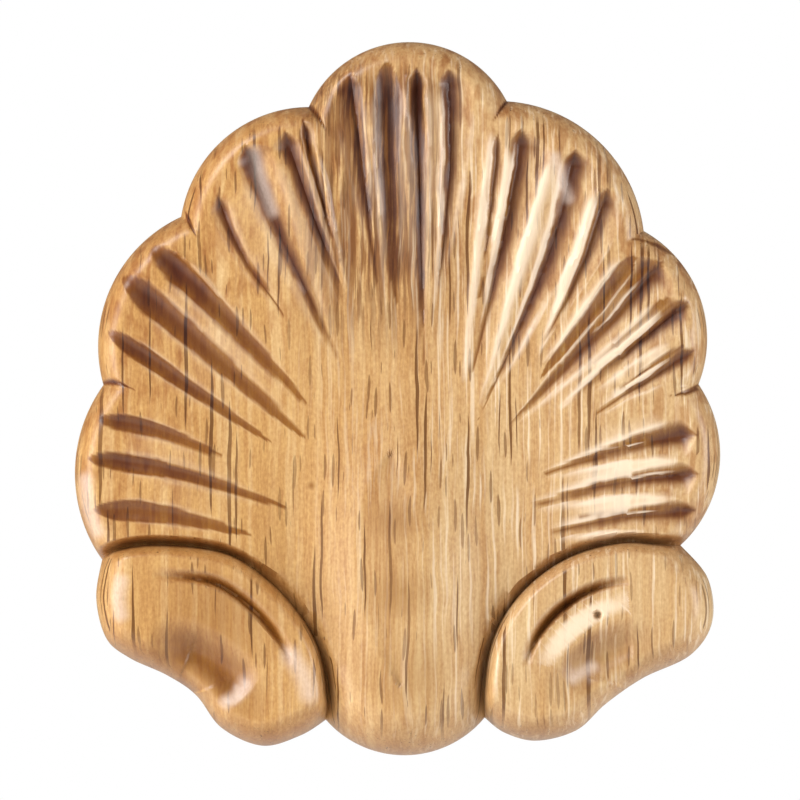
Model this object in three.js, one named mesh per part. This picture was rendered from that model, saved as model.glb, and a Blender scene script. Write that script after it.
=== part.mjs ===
// A carved oak shell ornament, made to be glued or pinned flat against furniture.
// Seven fluted lobes fan out of a rounded stem, and two scrolls curl below them.
// X runs across, Z up, and the carving faces -Y. The flat back lies in the plane Y = 0.
// The origin is the middle of the back, where the ornament is fixed.

import * as THREE from 'three';

// Overall size in mm. The layout below is drawn in hundredths of this height, from the middle of the back.
const SHELL_HEIGHT = 84;
const UNIT = SHELL_HEIGHT / 100;

// Heights above the flat back in mm
const EDGE_WALL = 4;
const CHANNEL_FLOOR = 7.1;
const DISH_FLOOR = 8.5;
const LOBE_CREST = 10.4;
const STEM_CREST = 12.7;
const SCROLL_CREST = 11.7;

// Roundings in mm, measured inward from an edge or a channel
const LOBE_ROUND = 3;
const FOOT_ROUND = 6;
const SCROLL_ROUND = 3.6;
const CHANNEL_BANK = 1.7;
const SCROLL_WALL = 1.3;
const PILLOW_REACH = 3.5;

// The fan's dish is an ellipse round a hub in the upper stem, in hundredths of the height.
const HUB = [0.6, -12];
const DISH_HALF_WIDTH = 44;
const DISH_HALF_HEIGHT = 62;
const DISH_INNER = 0.25;
const DISH_OUTER = 0.85;

// The stem is a round ridge that rises out of the dish, in hundredths of the height.
const STEM_MIDDLE = 0.8;
const STEM_HALF_WIDTH = 17;
const STEM_START = 4;
const STEM_FULL = -24;

// The shallow facet on the stem: its top, its middle, its lower tip and its half width in hundredths
const FACET_LINE = [[-1, -7.5], [-1.4, -24], [0.2, -40]];
const FACET_HALF_WIDTH = 4.4;
const FACET_DEPTH = 0.35;

// A stroke of a round gouge. line: its start, middle and end. wide: its full width. Both are in hundredths.
// deep: its depth in mm.
function gouge(line, wide, deep) {
  return { line, wide, deep, lean: 0, round: true };
}

// A stroke with two straight walls. lean: how far its deepest line lies right of the middle, as a share
// of the half width.
function vee(line, wide, deep, lean) {
  return { line, wide, deep, lean, round: false };
}

// The lobes from the left channel over the top to the right channel. Each starts at its notch and bows out.
// at: where the rays along its flutes leave the rim, as shares of the lobe's arc
const LOBES = [
  {
    notch: [-41.6, -22.6], bow: 3.9, at: [0.31, 0.6, 0.82],
    flutes: [
      gouge([[-42.1, -15.4], [-31.8, -16.2], [-20.5, -19]], 3.8, 0.8),
      gouge([[-43.1, -8.2], [-30.9, -10.2], [-15.5, -15.2]], 3.2, 0.9),
      gouge([[-41.7, -2.7], [-33.7, -4.4], [-24.5, -7.9]], 3.2, 0.9),
    ],
  },
  {
    notch: [-41.4, 1.9], bow: 4.8, at: [0.3, 0.58, 0.79],
    flutes: [
      gouge([[-40.2, 9.2], [-30.4, 2.6], [-17.6, -6.1]], 3.1, 0.9),
      gouge([[-38.2, 16.9], [-26.7, 6.8], [-13, -5.5]], 4.5, 1.1),
      gouge([[-34.2, 21.1], [-24.2, 11.3], [-12.7, -0.8]], 4.3, 1.1),
    ],
  },
  {
    notch: [-30.5, 25.5], bow: 4.35, at: [0.32, 0.59, 0.83],
    flutes: [
      vee([[-25.2, 28.1], [-21.1, 19.1], [-15.1, 10.4]], 3.6, 0.9, -0.3),
      vee([[-21.4, 35.1], [-17, 23.9], [-7.2, 2.6]], 6.5, 1.5, 0.35),
      vee([[-15.8, 37.1], [-11.6, 24.8], [-5.7, 8.8]], 4.8, 1.2, -0.3),
    ],
  },
  {
    notch: [-12.6, 40.9], bow: 8.7, at: [0.25, 0.42, 0.54, 0.67],
    flutes: [
      vee([[-6.7, 45.2], [-5.1, 33.4], [-2.9, 15.2]], 5.3, 1.1, -0.45),
      gouge([[-1.6, 46.6], [-1.3, 30.6], [-0.2, 13.1]], 4.2, 1.1),
      vee([[2.5, 45.8], [3, 27.8], [3.6, -0.2]], 3.6, 1.1, 0),
      vee([[6.9, 45.8], [7.1, 32], [5.3, 12.4]], 5.6, 1.1, 0.45),
    ],
  },
  {
    notch: [15.2, 41.7], bow: 4.8, at: [0.08, 0.38, 0.63],
    flutes: [
      vee([[17, 37.4], [14.8, 23.4], [10, 2.6]], 6.5, 1.2, 0.5),
      vee([[24.6, 34.6], [20.8, 19.7], [11.1, -3]], 7, 1.3, 0.5),
      vee([[29.1, 29.2], [25, 17.7], [19.4, 6.5]], 5.9, 1.1, 0.4),
    ],
  },
  {
    notch: [34.4, 23.5], bow: 4.3, at: [0.19, 0.47, 0.75],
    flutes: [
      vee([[36.7, 19.1], [29.1, 10.6], [14, -5.3]], 8.4, 1.3, 0.2),
      vee([[40.3, 13.5], [32.5, 7.1], [21.5, -1.9]], 6.2, 1.2, 0.2),
      vee([[41.2, 6.8], [33.9, 2.2], [26.6, -2.7]], 5, 1, 0.2),
    ],
  },
  {
    notch: [42.1, 2], bow: 4.2, at: [0.28, 0.51, 0.73],
    flutes: [
      vee([[41.4, -5], [32.2, -6.8], [18.4, -11.1]], 6.5, 1.2, 0.1),
      vee([[41.7, -10.4], [31.1, -11.7], [15.9, -15.5]], 5.9, 1.2, 0.25),
      vee([[41.4, -15.5], [31.1, -16.5], [17.3, -20]], 5.6, 1.1, 0.3),
    ],
  },
];
const RIGHT_NOTCH = [39.6, -20.6];

// Shallower strokes beside the flutes
const SIDE_CUTS = [
  vee([[-13.4, 38.8], [-10.9, 28.5], [-7.8, 18.3]], 2.5, 0.9, 0.3),
  vee([[13.8, 36.8], [12.8, 25.7], [10.7, 9.6]], 2.2, 0.5, 0.3),
  gouge([[33, 19.7], [27.1, 12.1], [19.8, 2.9]], 4.2, 0.7),
  gouge([[38.4, 15.5], [33.9, 10.7], [27.1, 4.6]], 2.8, 0.5),
];

// How a stroke runs: the length in mm over which each tool sinks in, and how the depth falls off behind it
const GOUGE_LEAD = 5;
const VEE_LEAD = 2.2;
const STROKE_TAPER = 1.1;

// The stem's foot bows down between its two notches.
const FOOT_LEFT = [-10.2, -45.1];
const FOOT_RIGHT = [12.1, -44.8];
const FOOT_BOW = 5.1;

// The rays of the fan turn down into the stem over an arch, in hundredths of the height. Beside the stem,
// the rays of flutes that end outside a wider arch turn over that one first, so that no two rays cross.
// NEAR_CHANNEL: how much of the rim, from each channel on, counts as beside the stem
const ARCH = { halfWidth: 11.1, middle: 1.5, base: -26.8, rise: 18.6 };
const WIDE_ARCH = { halfWidth: 18.4, middle: 2, base: -21.6, rise: 25.8 };
const NEAR_CHANNEL = 0.2;

// Each scroll lies between a channel and its S-shaped edge. Both run from the side notch to the foot notch.
// groove: how far the groove lies from the channel in mm. hollow: the line of the hollow, deep end first.
// hollowWide and hollowDeep: the hollow's width and depth in mm
const LEFT_SCROLL = {
  channel: [
    [-39.1, -21.1], [-33.4, -20.4], [-24.5, -21.5], [-18.4, -25.2], [-13.5, -30.5], [-10.9, -35.7],
    [-10, -41.7],
  ],
  edge: [
    [-42.4, -28], [-41, -33.6], [-37.7, -36.4], [-32.5, -38.8], [-28.4, -41.6], [-24.8, -46.2],
    [-19.1, -48.7], [-13.8, -47.3],
  ],
  groove: 3.6,
  hollow: [[-21.2, -41.2], [-26.2, -36.7], [-35.1, -32.7]],
  hollowWide: 8,
  hollowDeep: 1.9,
};
const RIGHT_SCROLL = {
  channel: [
    [35.6, -20.3], [30.9, -20.1], [24.5, -21.8], [19.1, -25.2], [15.1, -29.7], [12.8, -34.7], [12, -40.3],
  ],
  edge: [
    [43.4, -25.2], [44, -31.3], [40.9, -36], [34.3, -39.2], [29.1, -42.8], [25, -46.5],
    [19.4, -48], [14.9, -46.9],
  ],
  groove: 4.5,
  hollow: [[23.5, -39.8], [28.3, -36], [37, -32.7]],
  hollowWide: 7,
  hollowDeep: 1.2,
};

// The groove's section in mm, and where it starts and ends as shares of the channel
const GROOVE_WIDTH = 1.9;
const GROOVE_DEPTH = 1.1;
const GROOVE_FROM = 0.2;
const GROOVE_TO = 0.72;

// The hollow sinks in over HOLLOW_LEAD, which starts HOLLOW_LIP before its deep end. Both are in mm.
const HOLLOW_LEAD = 3.4;
const HOLLOW_LIP = 1;

// How finely the surface is cut into facets: distances in mm, and shares of what is left between them
const RAY_GAP = 0.95;
const RIM_ROWS = [0, 0.15, 0.6, 1.3, 2.1, 3.1, 4.2, 5.5, 7];
const BODY_STEPS = 16;
const FOOT_ROWS = [7, 5.4, 4, 2.8, 1.7, 0.8, 0.2, 0];
const THINNING_ROWS = [14, 18, 23];
const WALL_COLUMNS = [0.25, 0.8, 1.6];
const EDGE_COLUMNS = [4.4, 3.3, 2.3, 1.4, 0.6, 0.15];
const BODY_COLUMNS = 4;
const LINE_STEPS = 48;

const OAK = new THREE.MeshStandardMaterial({ color: 0xd9a865, roughness: 0.45, metalness: 0 });

function clamp(value) {
  return Math.min(1, Math.max(0, value));
}

// A step with soft ends, from 0 to 1
function smooth(value) {
  const share = clamp(value);
  return share * share * (3 - 2 * share);
}

// A quarter circle, upright at 0 and level at 1
function quarter(value) {
  const share = 1 - clamp(value);
  return Math.sqrt(1 - share * share);
}

// A quarter of a wave, steep at 0 and level at 1
function scoop(value) {
  return Math.sin((Math.PI / 2) * clamp(value));
}

function place(layout) {
  return new THREE.Vector2(layout[0] * UNIT, layout[1] * UNIT);
}

// The circle of an arc from one notch to the next, bowing out to the left of its course
function arcCircle(start, end, bow) {
  const chord = end.clone().sub(start);
  const half = chord.length() / 2;
  const radius = (half * half + bow * bow) / (2 * bow);
  const outward = new THREE.Vector2(-chord.y, chord.x).normalize();
  const centre = start.clone().add(end).multiplyScalar(0.5).addScaledVector(outward, bow - radius);
  return { centre, radius };
}

function arcPoint(start, end, bow, share) {
  const { centre, radius } = arcCircle(start, end, bow);
  const first = start.clone().sub(centre).angle();
  const turn = 2 * Math.asin(start.distanceTo(end) / (2 * radius));
  const angle = first - turn * share;
  return new THREE.Vector2(Math.cos(angle), Math.sin(angle)).multiplyScalar(radius).add(centre);
}

const NOTCHES = [...LOBES.map((lobe) => place(lobe.notch)), place(RIGHT_NOTCH)];
const LOBE_CIRCLES = LOBES.map((lobe, index) => (
  arcCircle(NOTCHES[index], NOTCHES[index + 1], lobe.bow * UNIT)
));
const FOOT_NOTCH_LEFT = place(FOOT_LEFT);
const FOOT_NOTCH_RIGHT = place(FOOT_RIGHT);
const FOOT_CIRCLE = arcCircle(FOOT_NOTCH_RIGHT, FOOT_NOTCH_LEFT, FOOT_BOW * UNIT);

function rimPoint(along) {
  const lobe = Math.min(LOBES.length - 1, Math.floor(along));
  return arcPoint(NOTCHES[lobe], NOTCHES[lobe + 1], LOBES[lobe].bow * UNIT, along - lobe);
}

function footPoint(share) {
  return arcPoint(FOOT_NOTCH_RIGHT, FOOT_NOTCH_LEFT, FOOT_BOW * UNIT, 1 - share);
}

function archPoint(arch, share) {
  const turn = Math.PI * share;
  return place([arch.middle - arch.halfWidth * Math.cos(turn), arch.base + arch.rise * Math.sin(turn)]);
}

function liesOutside(arch, layout) {
  const across = (layout[0] - arch.middle) / arch.halfWidth;
  const up = Math.max(0, layout[1] - arch.base) / arch.rise;
  return Math.hypot(across, up) > 1;
}

// A line of points with the distance run at each of them
function measured(points) {
  const run = [0];
  for (let i = 1; i < points.length; i += 1) {
    run.push(run[i - 1] + points[i].distanceTo(points[i - 1]));
  }
  return { points, run, length: run[run.length - 1] };
}

function pointAlong(line, distance) {
  let i = 1;
  while (i < line.run.length - 1 && line.run[i] < distance) {
    i += 1;
  }
  const share = clamp((distance - line.run[i - 1]) / (line.run[i] - line.run[i - 1]));
  return line.points[i - 1].clone().lerp(line.points[i], share);
}

// How far a point lies from a line, how much of the line is run where it is nearest, and whether it lies left
function nearest(line, point) {
  let best = { distance: Infinity };
  for (let i = 1; i < line.points.length; i += 1) {
    const from = line.points[i - 1];
    const step = line.points[i].clone().sub(from);
    const away = point.clone().sub(from);
    const share = clamp(away.dot(step) / step.lengthSq());
    const distance = from.clone().addScaledVector(step, share).distanceTo(point);
    if (distance < best.distance) {
      const run = THREE.MathUtils.lerp(line.run[i - 1], line.run[i], share);
      best = { distance, run, left: step.cross(away) > 0 };
    }
  }
  return best;
}

function splineLine(points) {
  return measured(new THREE.SplineCurve(points).getSpacedPoints(LINE_STEPS));
}

// The channels and the outer edges of both scrolls, from the side notch to the foot notch
function scrollLines(scroll, sideNotch, footNotch) {
  return {
    ...scroll,
    channelLine: splineLine([sideNotch, ...scroll.channel.map(place), footNotch]),
    edgeLine: splineLine([sideNotch, ...scroll.edge.map(place), footNotch]),
    hollowLine: splineLine(scroll.hollow.map(place)),
  };
}

const LEFT = scrollLines(LEFT_SCROLL, NOTCHES[0], FOOT_NOTCH_LEFT);
const RIGHT = scrollLines(RIGHT_SCROLL, NOTCHES[LOBES.length], FOOT_NOTCH_RIGHT);
const FACET = splineLine(FACET_LINE.map(place));
const FLUTES = LOBES.flatMap((lobe) => lobe.flutes);
const STROKES = [...FLUTES, ...SIDE_CUTS].map((cut) => ({
  cut,
  line: splineLine(cut.line.map(place)),
}));

// Key rays run through every notch and along every flute. Each holds its place along the rim.
const KEYS = [];
LOBES.forEach((lobe, index) => {
  KEYS.push({ along: index });
  lobe.flutes.forEach((cut, number) => KEYS.push({ along: index + lobe.at[number], cut }));
});
KEYS.push({ along: LOBES.length });
const LAST_KEY = KEYS.length - 1;

// A line between two neighbours, moved at its ends to meet the rim and the foot
function between(first, second, share, rim, foot) {
  const start = first.points[0].clone().lerp(second.points[0], share);
  const end = first.points[LINE_STEPS].clone().lerp(second.points[LINE_STEPS], share);
  const toRim = rim.clone().sub(start);
  const toFoot = foot.clone().sub(end);
  const leant = measured(first.points.map((point, i) => {
    const down = i / LINE_STEPS;
    const own = point.clone().lerp(second.points[i], share);
    return own.addScaledVector(toRim, (1 - down) ** 2).addScaledVector(toFoot, down ** 2);
  }));
  return measured(leant.points.map((_, i) => pointAlong(leant, (leant.length * i) / LINE_STEPS)));
}

// The ray along a flute turns into the stem and runs down to the foot.
function fluteRay(key, share) {
  const end = key.cut.line[key.cut.line.length - 1];
  const besideStem = Math.min(share, 1 - share) < NEAR_CHANNEL;
  const arches = besideStem && liesOutside(WIDE_ARCH, end) ? [WIDE_ARCH, ARCH] : [ARCH];
  const turns = arches.map((arch) => archPoint(arch, share));
  return splineLine([rimPoint(key.along), ...key.cut.line.map(place), ...turns, footPoint(share)]);
}

// The outermost key rays are the channels, and those of the notches run midway between their neighbours.
KEYS.forEach((key, index) => {
  if (key.cut) {
    key.line = fluteRay(key, index / LAST_KEY);
  }
});
KEYS[0].line = LEFT.channelLine;
KEYS[LAST_KEY].line = RIGHT.channelLine;
KEYS.forEach((key, index) => {
  if (!key.line) {
    const rim = rimPoint(key.along);
    const foot = footPoint(index / LAST_KEY);
    key.line = between(KEYS[index - 1].line, KEYS[index + 1].line, 0.5, rim, foot);
  }
});

function rayLine(ray) {
  const first = Math.min(LAST_KEY - 1, Math.floor(ray));
  const share = ray - first;
  const rim = rimPoint(THREE.MathUtils.lerp(KEYS[first].along, KEYS[first + 1].along, share));
  return between(KEYS[first].line, KEYS[first + 1].line, share, rim, footPoint(ray / LAST_KEY));
}

// How deep the strokes are at a point. A stroke narrows as it grows shallow, so it runs out in a point.
function strokeDepth(point) {
  const depths = STROKES.map(({ cut, line }) => {
    const { distance, run, left } = nearest(line, point);
    const lead = cut.round ? GOUGE_LEAD : VEE_LEAD;
    const profile = scoop(run / lead) * (1 - run / line.length) ** STROKE_TAPER;
    if (profile <= 0) {
      return 0;
    }
    const offset = distance / ((cut.wide * UNIT / 2) * (1 + (left ? cut.lean : -cut.lean)));
    const section = cut.round ? 1 - offset ** 2 / profile : 1 - offset / profile;
    return cut.deep * profile * Math.max(0, section);
  });
  return Math.max(...depths);
}

// Height of the fan and stem. Each lobe rounds over to its own arc, which leaves a crease at each notch.
function fanHeight(point, fromRim, fromFoot) {
  const hub = place(HUB);
  const out = Math.hypot(
    (point.x - hub.x) / (DISH_HALF_WIDTH * UNIT),
    (point.y - hub.y) / (DISH_HALF_HEIGHT * UNIT),
  );
  const dish = smooth((out - DISH_INNER) / (DISH_OUTER - DISH_INNER));
  let top = THREE.MathUtils.lerp(DISH_FLOOR, LOBE_CREST, dish);
  const across = clamp(Math.abs(point.x / UNIT - STEM_MIDDLE) / STEM_HALF_WIDTH);
  const rise = smooth((STEM_START - point.y / UNIT) / (STEM_START - STEM_FULL));
  top = THREE.MathUtils.lerp(top, STEM_CREST, rise * Math.cos(across * Math.PI / 2) ** 2);
  const toFacet = nearest(FACET, point).distance;
  top -= FACET_DEPTH * (1 - smooth(toFacet / (FACET_HALF_WIDTH * UNIT)));
  top -= strokeDepth(point);
  const toChannel = Math.min(...[LEFT, RIGHT].map((scroll) => nearest(scroll.channelLine, point).distance));
  const banked = THREE.MathUtils.lerp(CHANNEL_FLOOR, top, smooth(toChannel / CHANNEL_BANK));
  const inLobe = LOBE_CIRCLES.map(({ centre, radius }) => radius - centre.distanceTo(point));
  const fromEdge = Math.max(0, fromRim - PILLOW_REACH, ...inLobe);
  const inFoot = FOOT_CIRCLE.radius - FOOT_CIRCLE.centre.distanceTo(point);
  const fromSole = Math.max(0, fromFoot - PILLOW_REACH, inFoot);
  const rounding = quarter(fromEdge / LOBE_ROUND) * quarter(fromSole / FOOT_ROUND);
  return EDGE_WALL + (banked - EDGE_WALL) * rounding;
}

// Height of a scroll. It stands up steeply out of the channel and rounds over to its outer edge.
// Its groove runs beside the channel, and its hollow runs out to nothing from the deep end.
function scrollHeight(scroll, point) {
  const channel = nearest(scroll.channelLine, point);
  const share = channel.run / scroll.channelLine.length;
  const grooveRun = clamp((share - GROOVE_FROM) / (GROOVE_TO - GROOVE_FROM));
  const offset = Math.abs(channel.distance - scroll.groove) / (GROOVE_WIDTH / 2);
  const groove = GROOVE_DEPTH * Math.sqrt(Math.sin(Math.PI * grooveRun)) * Math.max(0, 1 - offset);
  const middle = nearest(scroll.hollowLine, point);
  const fade = Math.sqrt(1 - middle.run / scroll.hollowLine.length);
  const along = scoop((middle.run + HOLLOW_LIP) / HOLLOW_LEAD) * fade;
  const hollow = scroll.hollowDeep * along * (1 - smooth(middle.distance / (scroll.hollowWide / 2)));
  const top = SCROLL_CREST - groove - hollow;
  const walled = THREE.MathUtils.lerp(CHANNEL_FLOOR, top, quarter(channel.distance / SCROLL_WALL));
  const rounding = quarter(nearest(scroll.edgeLine, point).distance / SCROLL_ROUND);
  return EDGE_WALL + (walled - EDGE_WALL) * rounding;
}

// Rows cross the rays: close together by the rim and the foot, and evenly spread between them.
const ROWS = RIM_ROWS.length + BODY_STEPS - 1 + FOOT_ROWS.length;

function rowDistance(line, row) {
  if (row < RIM_ROWS.length) {
    return RIM_ROWS[row];
  }
  if (row >= ROWS - FOOT_ROWS.length) {
    return line.length - FOOT_ROWS[row - ROWS + FOOT_ROWS.length];
  }
  const first = RIM_ROWS[RIM_ROWS.length - 1];
  const last = line.length - FOOT_ROWS[0];
  return THREE.MathUtils.lerp(first, last, (row - RIM_ROWS.length + 1) / BODY_STEPS);
}

// Rays between two key rays, as many as their gap at the rim asks for. level: 0 for a key ray, then finer
function raysBetween(key) {
  const gap = rimPoint(KEYS[key].along).distanceTo(rimPoint(KEYS[key + 1].along));
  const steps = Math.max(1, Math.round(gap / RAY_GAP));
  return Array.from({ length: steps }, (_, step) => ({
    ray: key + step / steps,
    level: step === 0 ? 0 : 1 + (step % 2),
  }));
}

const RAYS = [];
for (let key = 0; key < LAST_KEY; key += 1) {
  RAYS.push(...raysBetween(key));
}
RAYS.push({ ray: LAST_KEY, level: 0 });
RAYS.forEach((entry) => {
  entry.line = rayLine(entry.ray);
});

// Further down the stem the rays lie close together, so they thin out to the key rays, then to every second.
function raysOnRow(row) {
  const thinned = THINNING_ROWS.filter((first) => row >= first).length;
  const kept = RAYS.filter((entry) => entry.level <= 2 - thinned || entry.level === 0);
  const lastThinning = thinned === THINNING_ROWS.length;
  return lastThinning ? kept.filter((entry) => entry.ray % 2 === 0 || entry.ray === LAST_KEY) : kept;
}

const positions = [];
const triangles = [];

function addVertex(point, height) {
  positions.push(point.x, -height, point.y);
  return positions.length / 3 - 1;
}

// Joins two rows of vertices, each with its place along the row, by triangles
function joinRows(upper, lower) {
  let i = 0;
  let j = 0;
  while (i < upper.length - 1 || j < lower.length - 1) {
    const stepUpper = j === lower.length - 1
      || (i < upper.length - 1 && upper[i + 1].place <= lower[j + 1].place);
    if (stepUpper) {
      triangles.push([upper[i].vertex, lower[j].vertex, upper[i + 1].vertex]);
      i += 1;
    } else {
      triangles.push([upper[i].vertex, lower[j].vertex, lower[j + 1].vertex]);
      j += 1;
    }
  }
}

// The fan and stem, row by row from the rim to the foot
const fanRows = [];
for (let row = 0; row < ROWS; row += 1) {
  fanRows.push(raysOnRow(row).map(({ ray, line }) => {
    const distance = rowDistance(line, row);
    const point = pointAlong(line, distance);
    const height = fanHeight(point, distance, line.length - distance);
    return { place: ray, point, vertex: addVertex(point, height) };
  }));
}
for (let row = 1; row < ROWS; row += 1) {
  joinRows(fanRows[row - 1], fanRows[row]);
}

// Columns of a scroll on one row, from the channel over the groove to the edge. Where the scroll is narrow,
// those that don't fit drop out.
function columnDistances(scroll, width) {
  const overGroove = [-1, 0, 1].map((side) => scroll.groove + (side * GROOVE_WIDTH) / 2);
  const near = [...WALL_COLUMNS, ...overGroove].filter((distance) => distance < width * 0.5);
  const far = EDGE_COLUMNS.filter((distance) => distance < width * 0.45).map((distance) => width - distance);
  const from = near.length ? near[near.length - 1] : 0;
  const to = far.length ? far[0] : width;
  const steps = width > overGroove[2] + EDGE_COLUMNS[0] ? BODY_COLUMNS : 0;
  const shares = Array.from({ length: steps }, (_, i) => (i + 1) / (steps + 1));
  const middle = shares.map((share) => THREE.MathUtils.lerp(from, to, share));
  return [...near, ...middle, ...far, width];
}

// A scroll's rows start on the channel's own vertices, so it meets the fan edge to edge.
function scrollRows(scroll, channelVertices) {
  const last = channelVertices.length - 1;
  return channelVertices.map(({ point, vertex }, row) => {
    const start = { place: 0, vertex };
    if (row === 0 || row === last) {
      return [start];
    }
    const share = nearest(scroll.channelLine, point).run / scroll.channelLine.length;
    const edge = pointAlong(scroll.edgeLine, scroll.edgeLine.length * share);
    const width = point.distanceTo(edge);
    const columns = columnDistances(scroll, width).map((distance) => {
      const spot = point.clone().lerp(edge, distance / width);
      const height = distance === width ? EDGE_WALL : scrollHeight(scroll, spot);
      return { place: distance / width, vertex: addVertex(spot, height) };
    });
    return [start, ...columns];
  });
}

const leftRows = scrollRows(LEFT, fanRows.map((row) => row[0]));
const rightRows = scrollRows(RIGHT, fanRows.map((row) => row[row.length - 1]));
for (let row = 1; row < ROWS; row += 1) {
  joinRows(leftRows[row], leftRows[row - 1]);
  joinRows(rightRows[row - 1], rightRows[row]);
}

// The outline runs along the rim, down the right scroll, along the foot and up the left scroll.
function outerVertices(rows) {
  return rows.slice(1, -1).map((row) => row[row.length - 1].vertex);
}

const outline = [
  ...fanRows[0].map((entry) => entry.vertex),
  ...outerVertices(rightRows),
  ...fanRows[ROWS - 1].map((entry) => entry.vertex).reverse(),
  ...outerVertices(leftRows).reverse(),
];
const backVertices = outline.map((vertex) => {
  const point = new THREE.Vector2(positions[vertex * 3], positions[vertex * 3 + 2]);
  return addVertex(point, 0);
});

// The square edge all round, then the flat back
outline.forEach((vertex, i) => {
  const next = (i + 1) % outline.length;
  triangles.push([vertex, backVertices[next], backVertices[i]]);
  triangles.push([vertex, outline[next], backVertices[next]]);
});
const contour = backVertices.map((vertex) => (
  new THREE.Vector2(positions[vertex * 3], positions[vertex * 3 + 2])
));
THREE.ShapeUtils.triangulateShape(contour, []).forEach(([a, b, c]) => {
  triangles.push([backVertices[a], backVertices[c], backVertices[b]]);
});

const geometry = new THREE.BufferGeometry();
geometry.setAttribute('position', new THREE.Float32BufferAttribute(positions, 3));
geometry.setIndex(triangles.flat());
geometry.computeVertexNormals();

const shell = new THREE.Mesh(geometry, OAK);
shell.name = 'carved_shell';

const ornament = new THREE.Group();
ornament.add(shell);

export default ornament;
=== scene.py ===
# %% [markdown]
# A carved oak shell ornament
#
# This lesson dresses one small carving: a fan of seven fluted lobes on a rounded stem, with a scroll on each side.
# A carver cuts it from one board of oak with gouges, sands it lightly, stains it golden and lacquers it.
# It could be sculpted by hand or cut from a block with booleans. Here it is worked out from a written layout,
# so that a changed number gives a changed carving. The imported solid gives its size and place, and the same carving
# is built again with far finer facets, because the arrises, gouge ends and steep channel walls need them.

import bpy
import numpy as np
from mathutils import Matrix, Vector, noise


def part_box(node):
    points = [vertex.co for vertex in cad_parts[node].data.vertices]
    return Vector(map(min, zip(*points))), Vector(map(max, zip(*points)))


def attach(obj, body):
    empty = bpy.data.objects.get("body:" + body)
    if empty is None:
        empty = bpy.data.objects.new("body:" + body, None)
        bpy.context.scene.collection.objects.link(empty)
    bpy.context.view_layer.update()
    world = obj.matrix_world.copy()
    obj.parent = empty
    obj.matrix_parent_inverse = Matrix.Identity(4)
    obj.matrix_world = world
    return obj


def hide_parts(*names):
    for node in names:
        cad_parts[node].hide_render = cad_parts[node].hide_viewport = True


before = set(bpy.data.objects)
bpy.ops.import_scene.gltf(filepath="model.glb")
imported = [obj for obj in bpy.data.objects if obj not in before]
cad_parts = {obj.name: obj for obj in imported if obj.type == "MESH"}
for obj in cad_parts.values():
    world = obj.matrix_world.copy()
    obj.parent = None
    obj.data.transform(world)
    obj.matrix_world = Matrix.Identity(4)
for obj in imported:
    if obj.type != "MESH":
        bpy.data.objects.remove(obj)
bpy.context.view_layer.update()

MM = 0.001
shell_low, shell_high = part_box("carved_shell")
# The layout is 100 high. The rest, 0.12, keeps the finer facets just inside the solid's box.
LAYOUT_HEIGHT = 100.12
UNIT = (shell_high.z - shell_low.z) / LAYOUT_HEIGHT
print("the solid is", [round((b - a) / MM, 1) for a, b in zip(shell_low, shell_high)], "mm")

# %% [markdown]
# The layout of the carving
#
# A carver first draws the outline on the board: arcs between notches for the lobes, and an S for each scroll.
# The layout is written in hundredths of the shell's height, so that it follows the solid's size, and heights and
# roundings are in metres. Most are the values that the solid was built from. Here the stem is a hair lower
# (12.62 against 12.7 mm), the bank beside the channels is narrower (1.3 against 1.7 mm) and the scrolls' grooves
# reach a little further, and the finest strokes and ridges are only in this lesson.

# %% Name the heights and roundings
# Each lobe is a pillow of its own as far in as PILLOW_REACH. Further in the lobes run together.
EDGE_WALL = 4 * MM
CHANNEL_FLOOR = 7.1 * MM
DISH_FLOOR = 8.5 * MM
LOBE_CREST = 10.4 * MM
STEM_CREST = 12.62 * MM
SCROLL_CREST = 11.7 * MM
LOBE_ROUND = 3 * MM
FOOT_ROUND = 6 * MM
SCROLL_ROUND = 3.6 * MM
CHANNEL_BANK = 1.3 * MM
SCROLL_WALL = 1.3 * MM
PILLOW_REACH = 3.5 * MM
print("the carving rises from", round(EDGE_WALL / MM, 2), "mm at its edge to", round(STEM_CREST / MM, 2), "mm")

# %% [markdown]
# The strokes of the tools
#
# Each flute is one stroke of a gouge, or two that meet in a sharp floor as if a V tool had cut them.
# They could be cutter solids that are taken away one by one, but those leave torn facets where strokes meet.
# Here a stroke is a line with a width and a depth, and the surface is lowered along it.

# %% Say what a stroke of each tool is
# at is the share of the lobe's arc that the stroke points to. Its line has a start, a middle and an end.
# wide is in hundredths of the height and deep in mm. lean moves the deepest line off the middle of the stroke.
# shade is how far the stain and painted shade reach up the wider wall.
def gouge(at, line, wide, deep, lean, shade):
    """A stroke with a round floor and crisp edges."""
    return dict(at=at, line=line, wide=wide, deep=deep, lean=lean, shade=shade, round_floor=True)


def vee(at, line, wide, deep, lean, shade):
    """A stroke with two straight walls that meet in a sharp floor."""
    return dict(at=at, line=line, wide=wide, deep=deep, lean=lean, shade=shade, round_floor=False)


print("a stroke 4 hundredths wide is", round(4 * UNIT / MM, 1), "mm wide")

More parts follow.
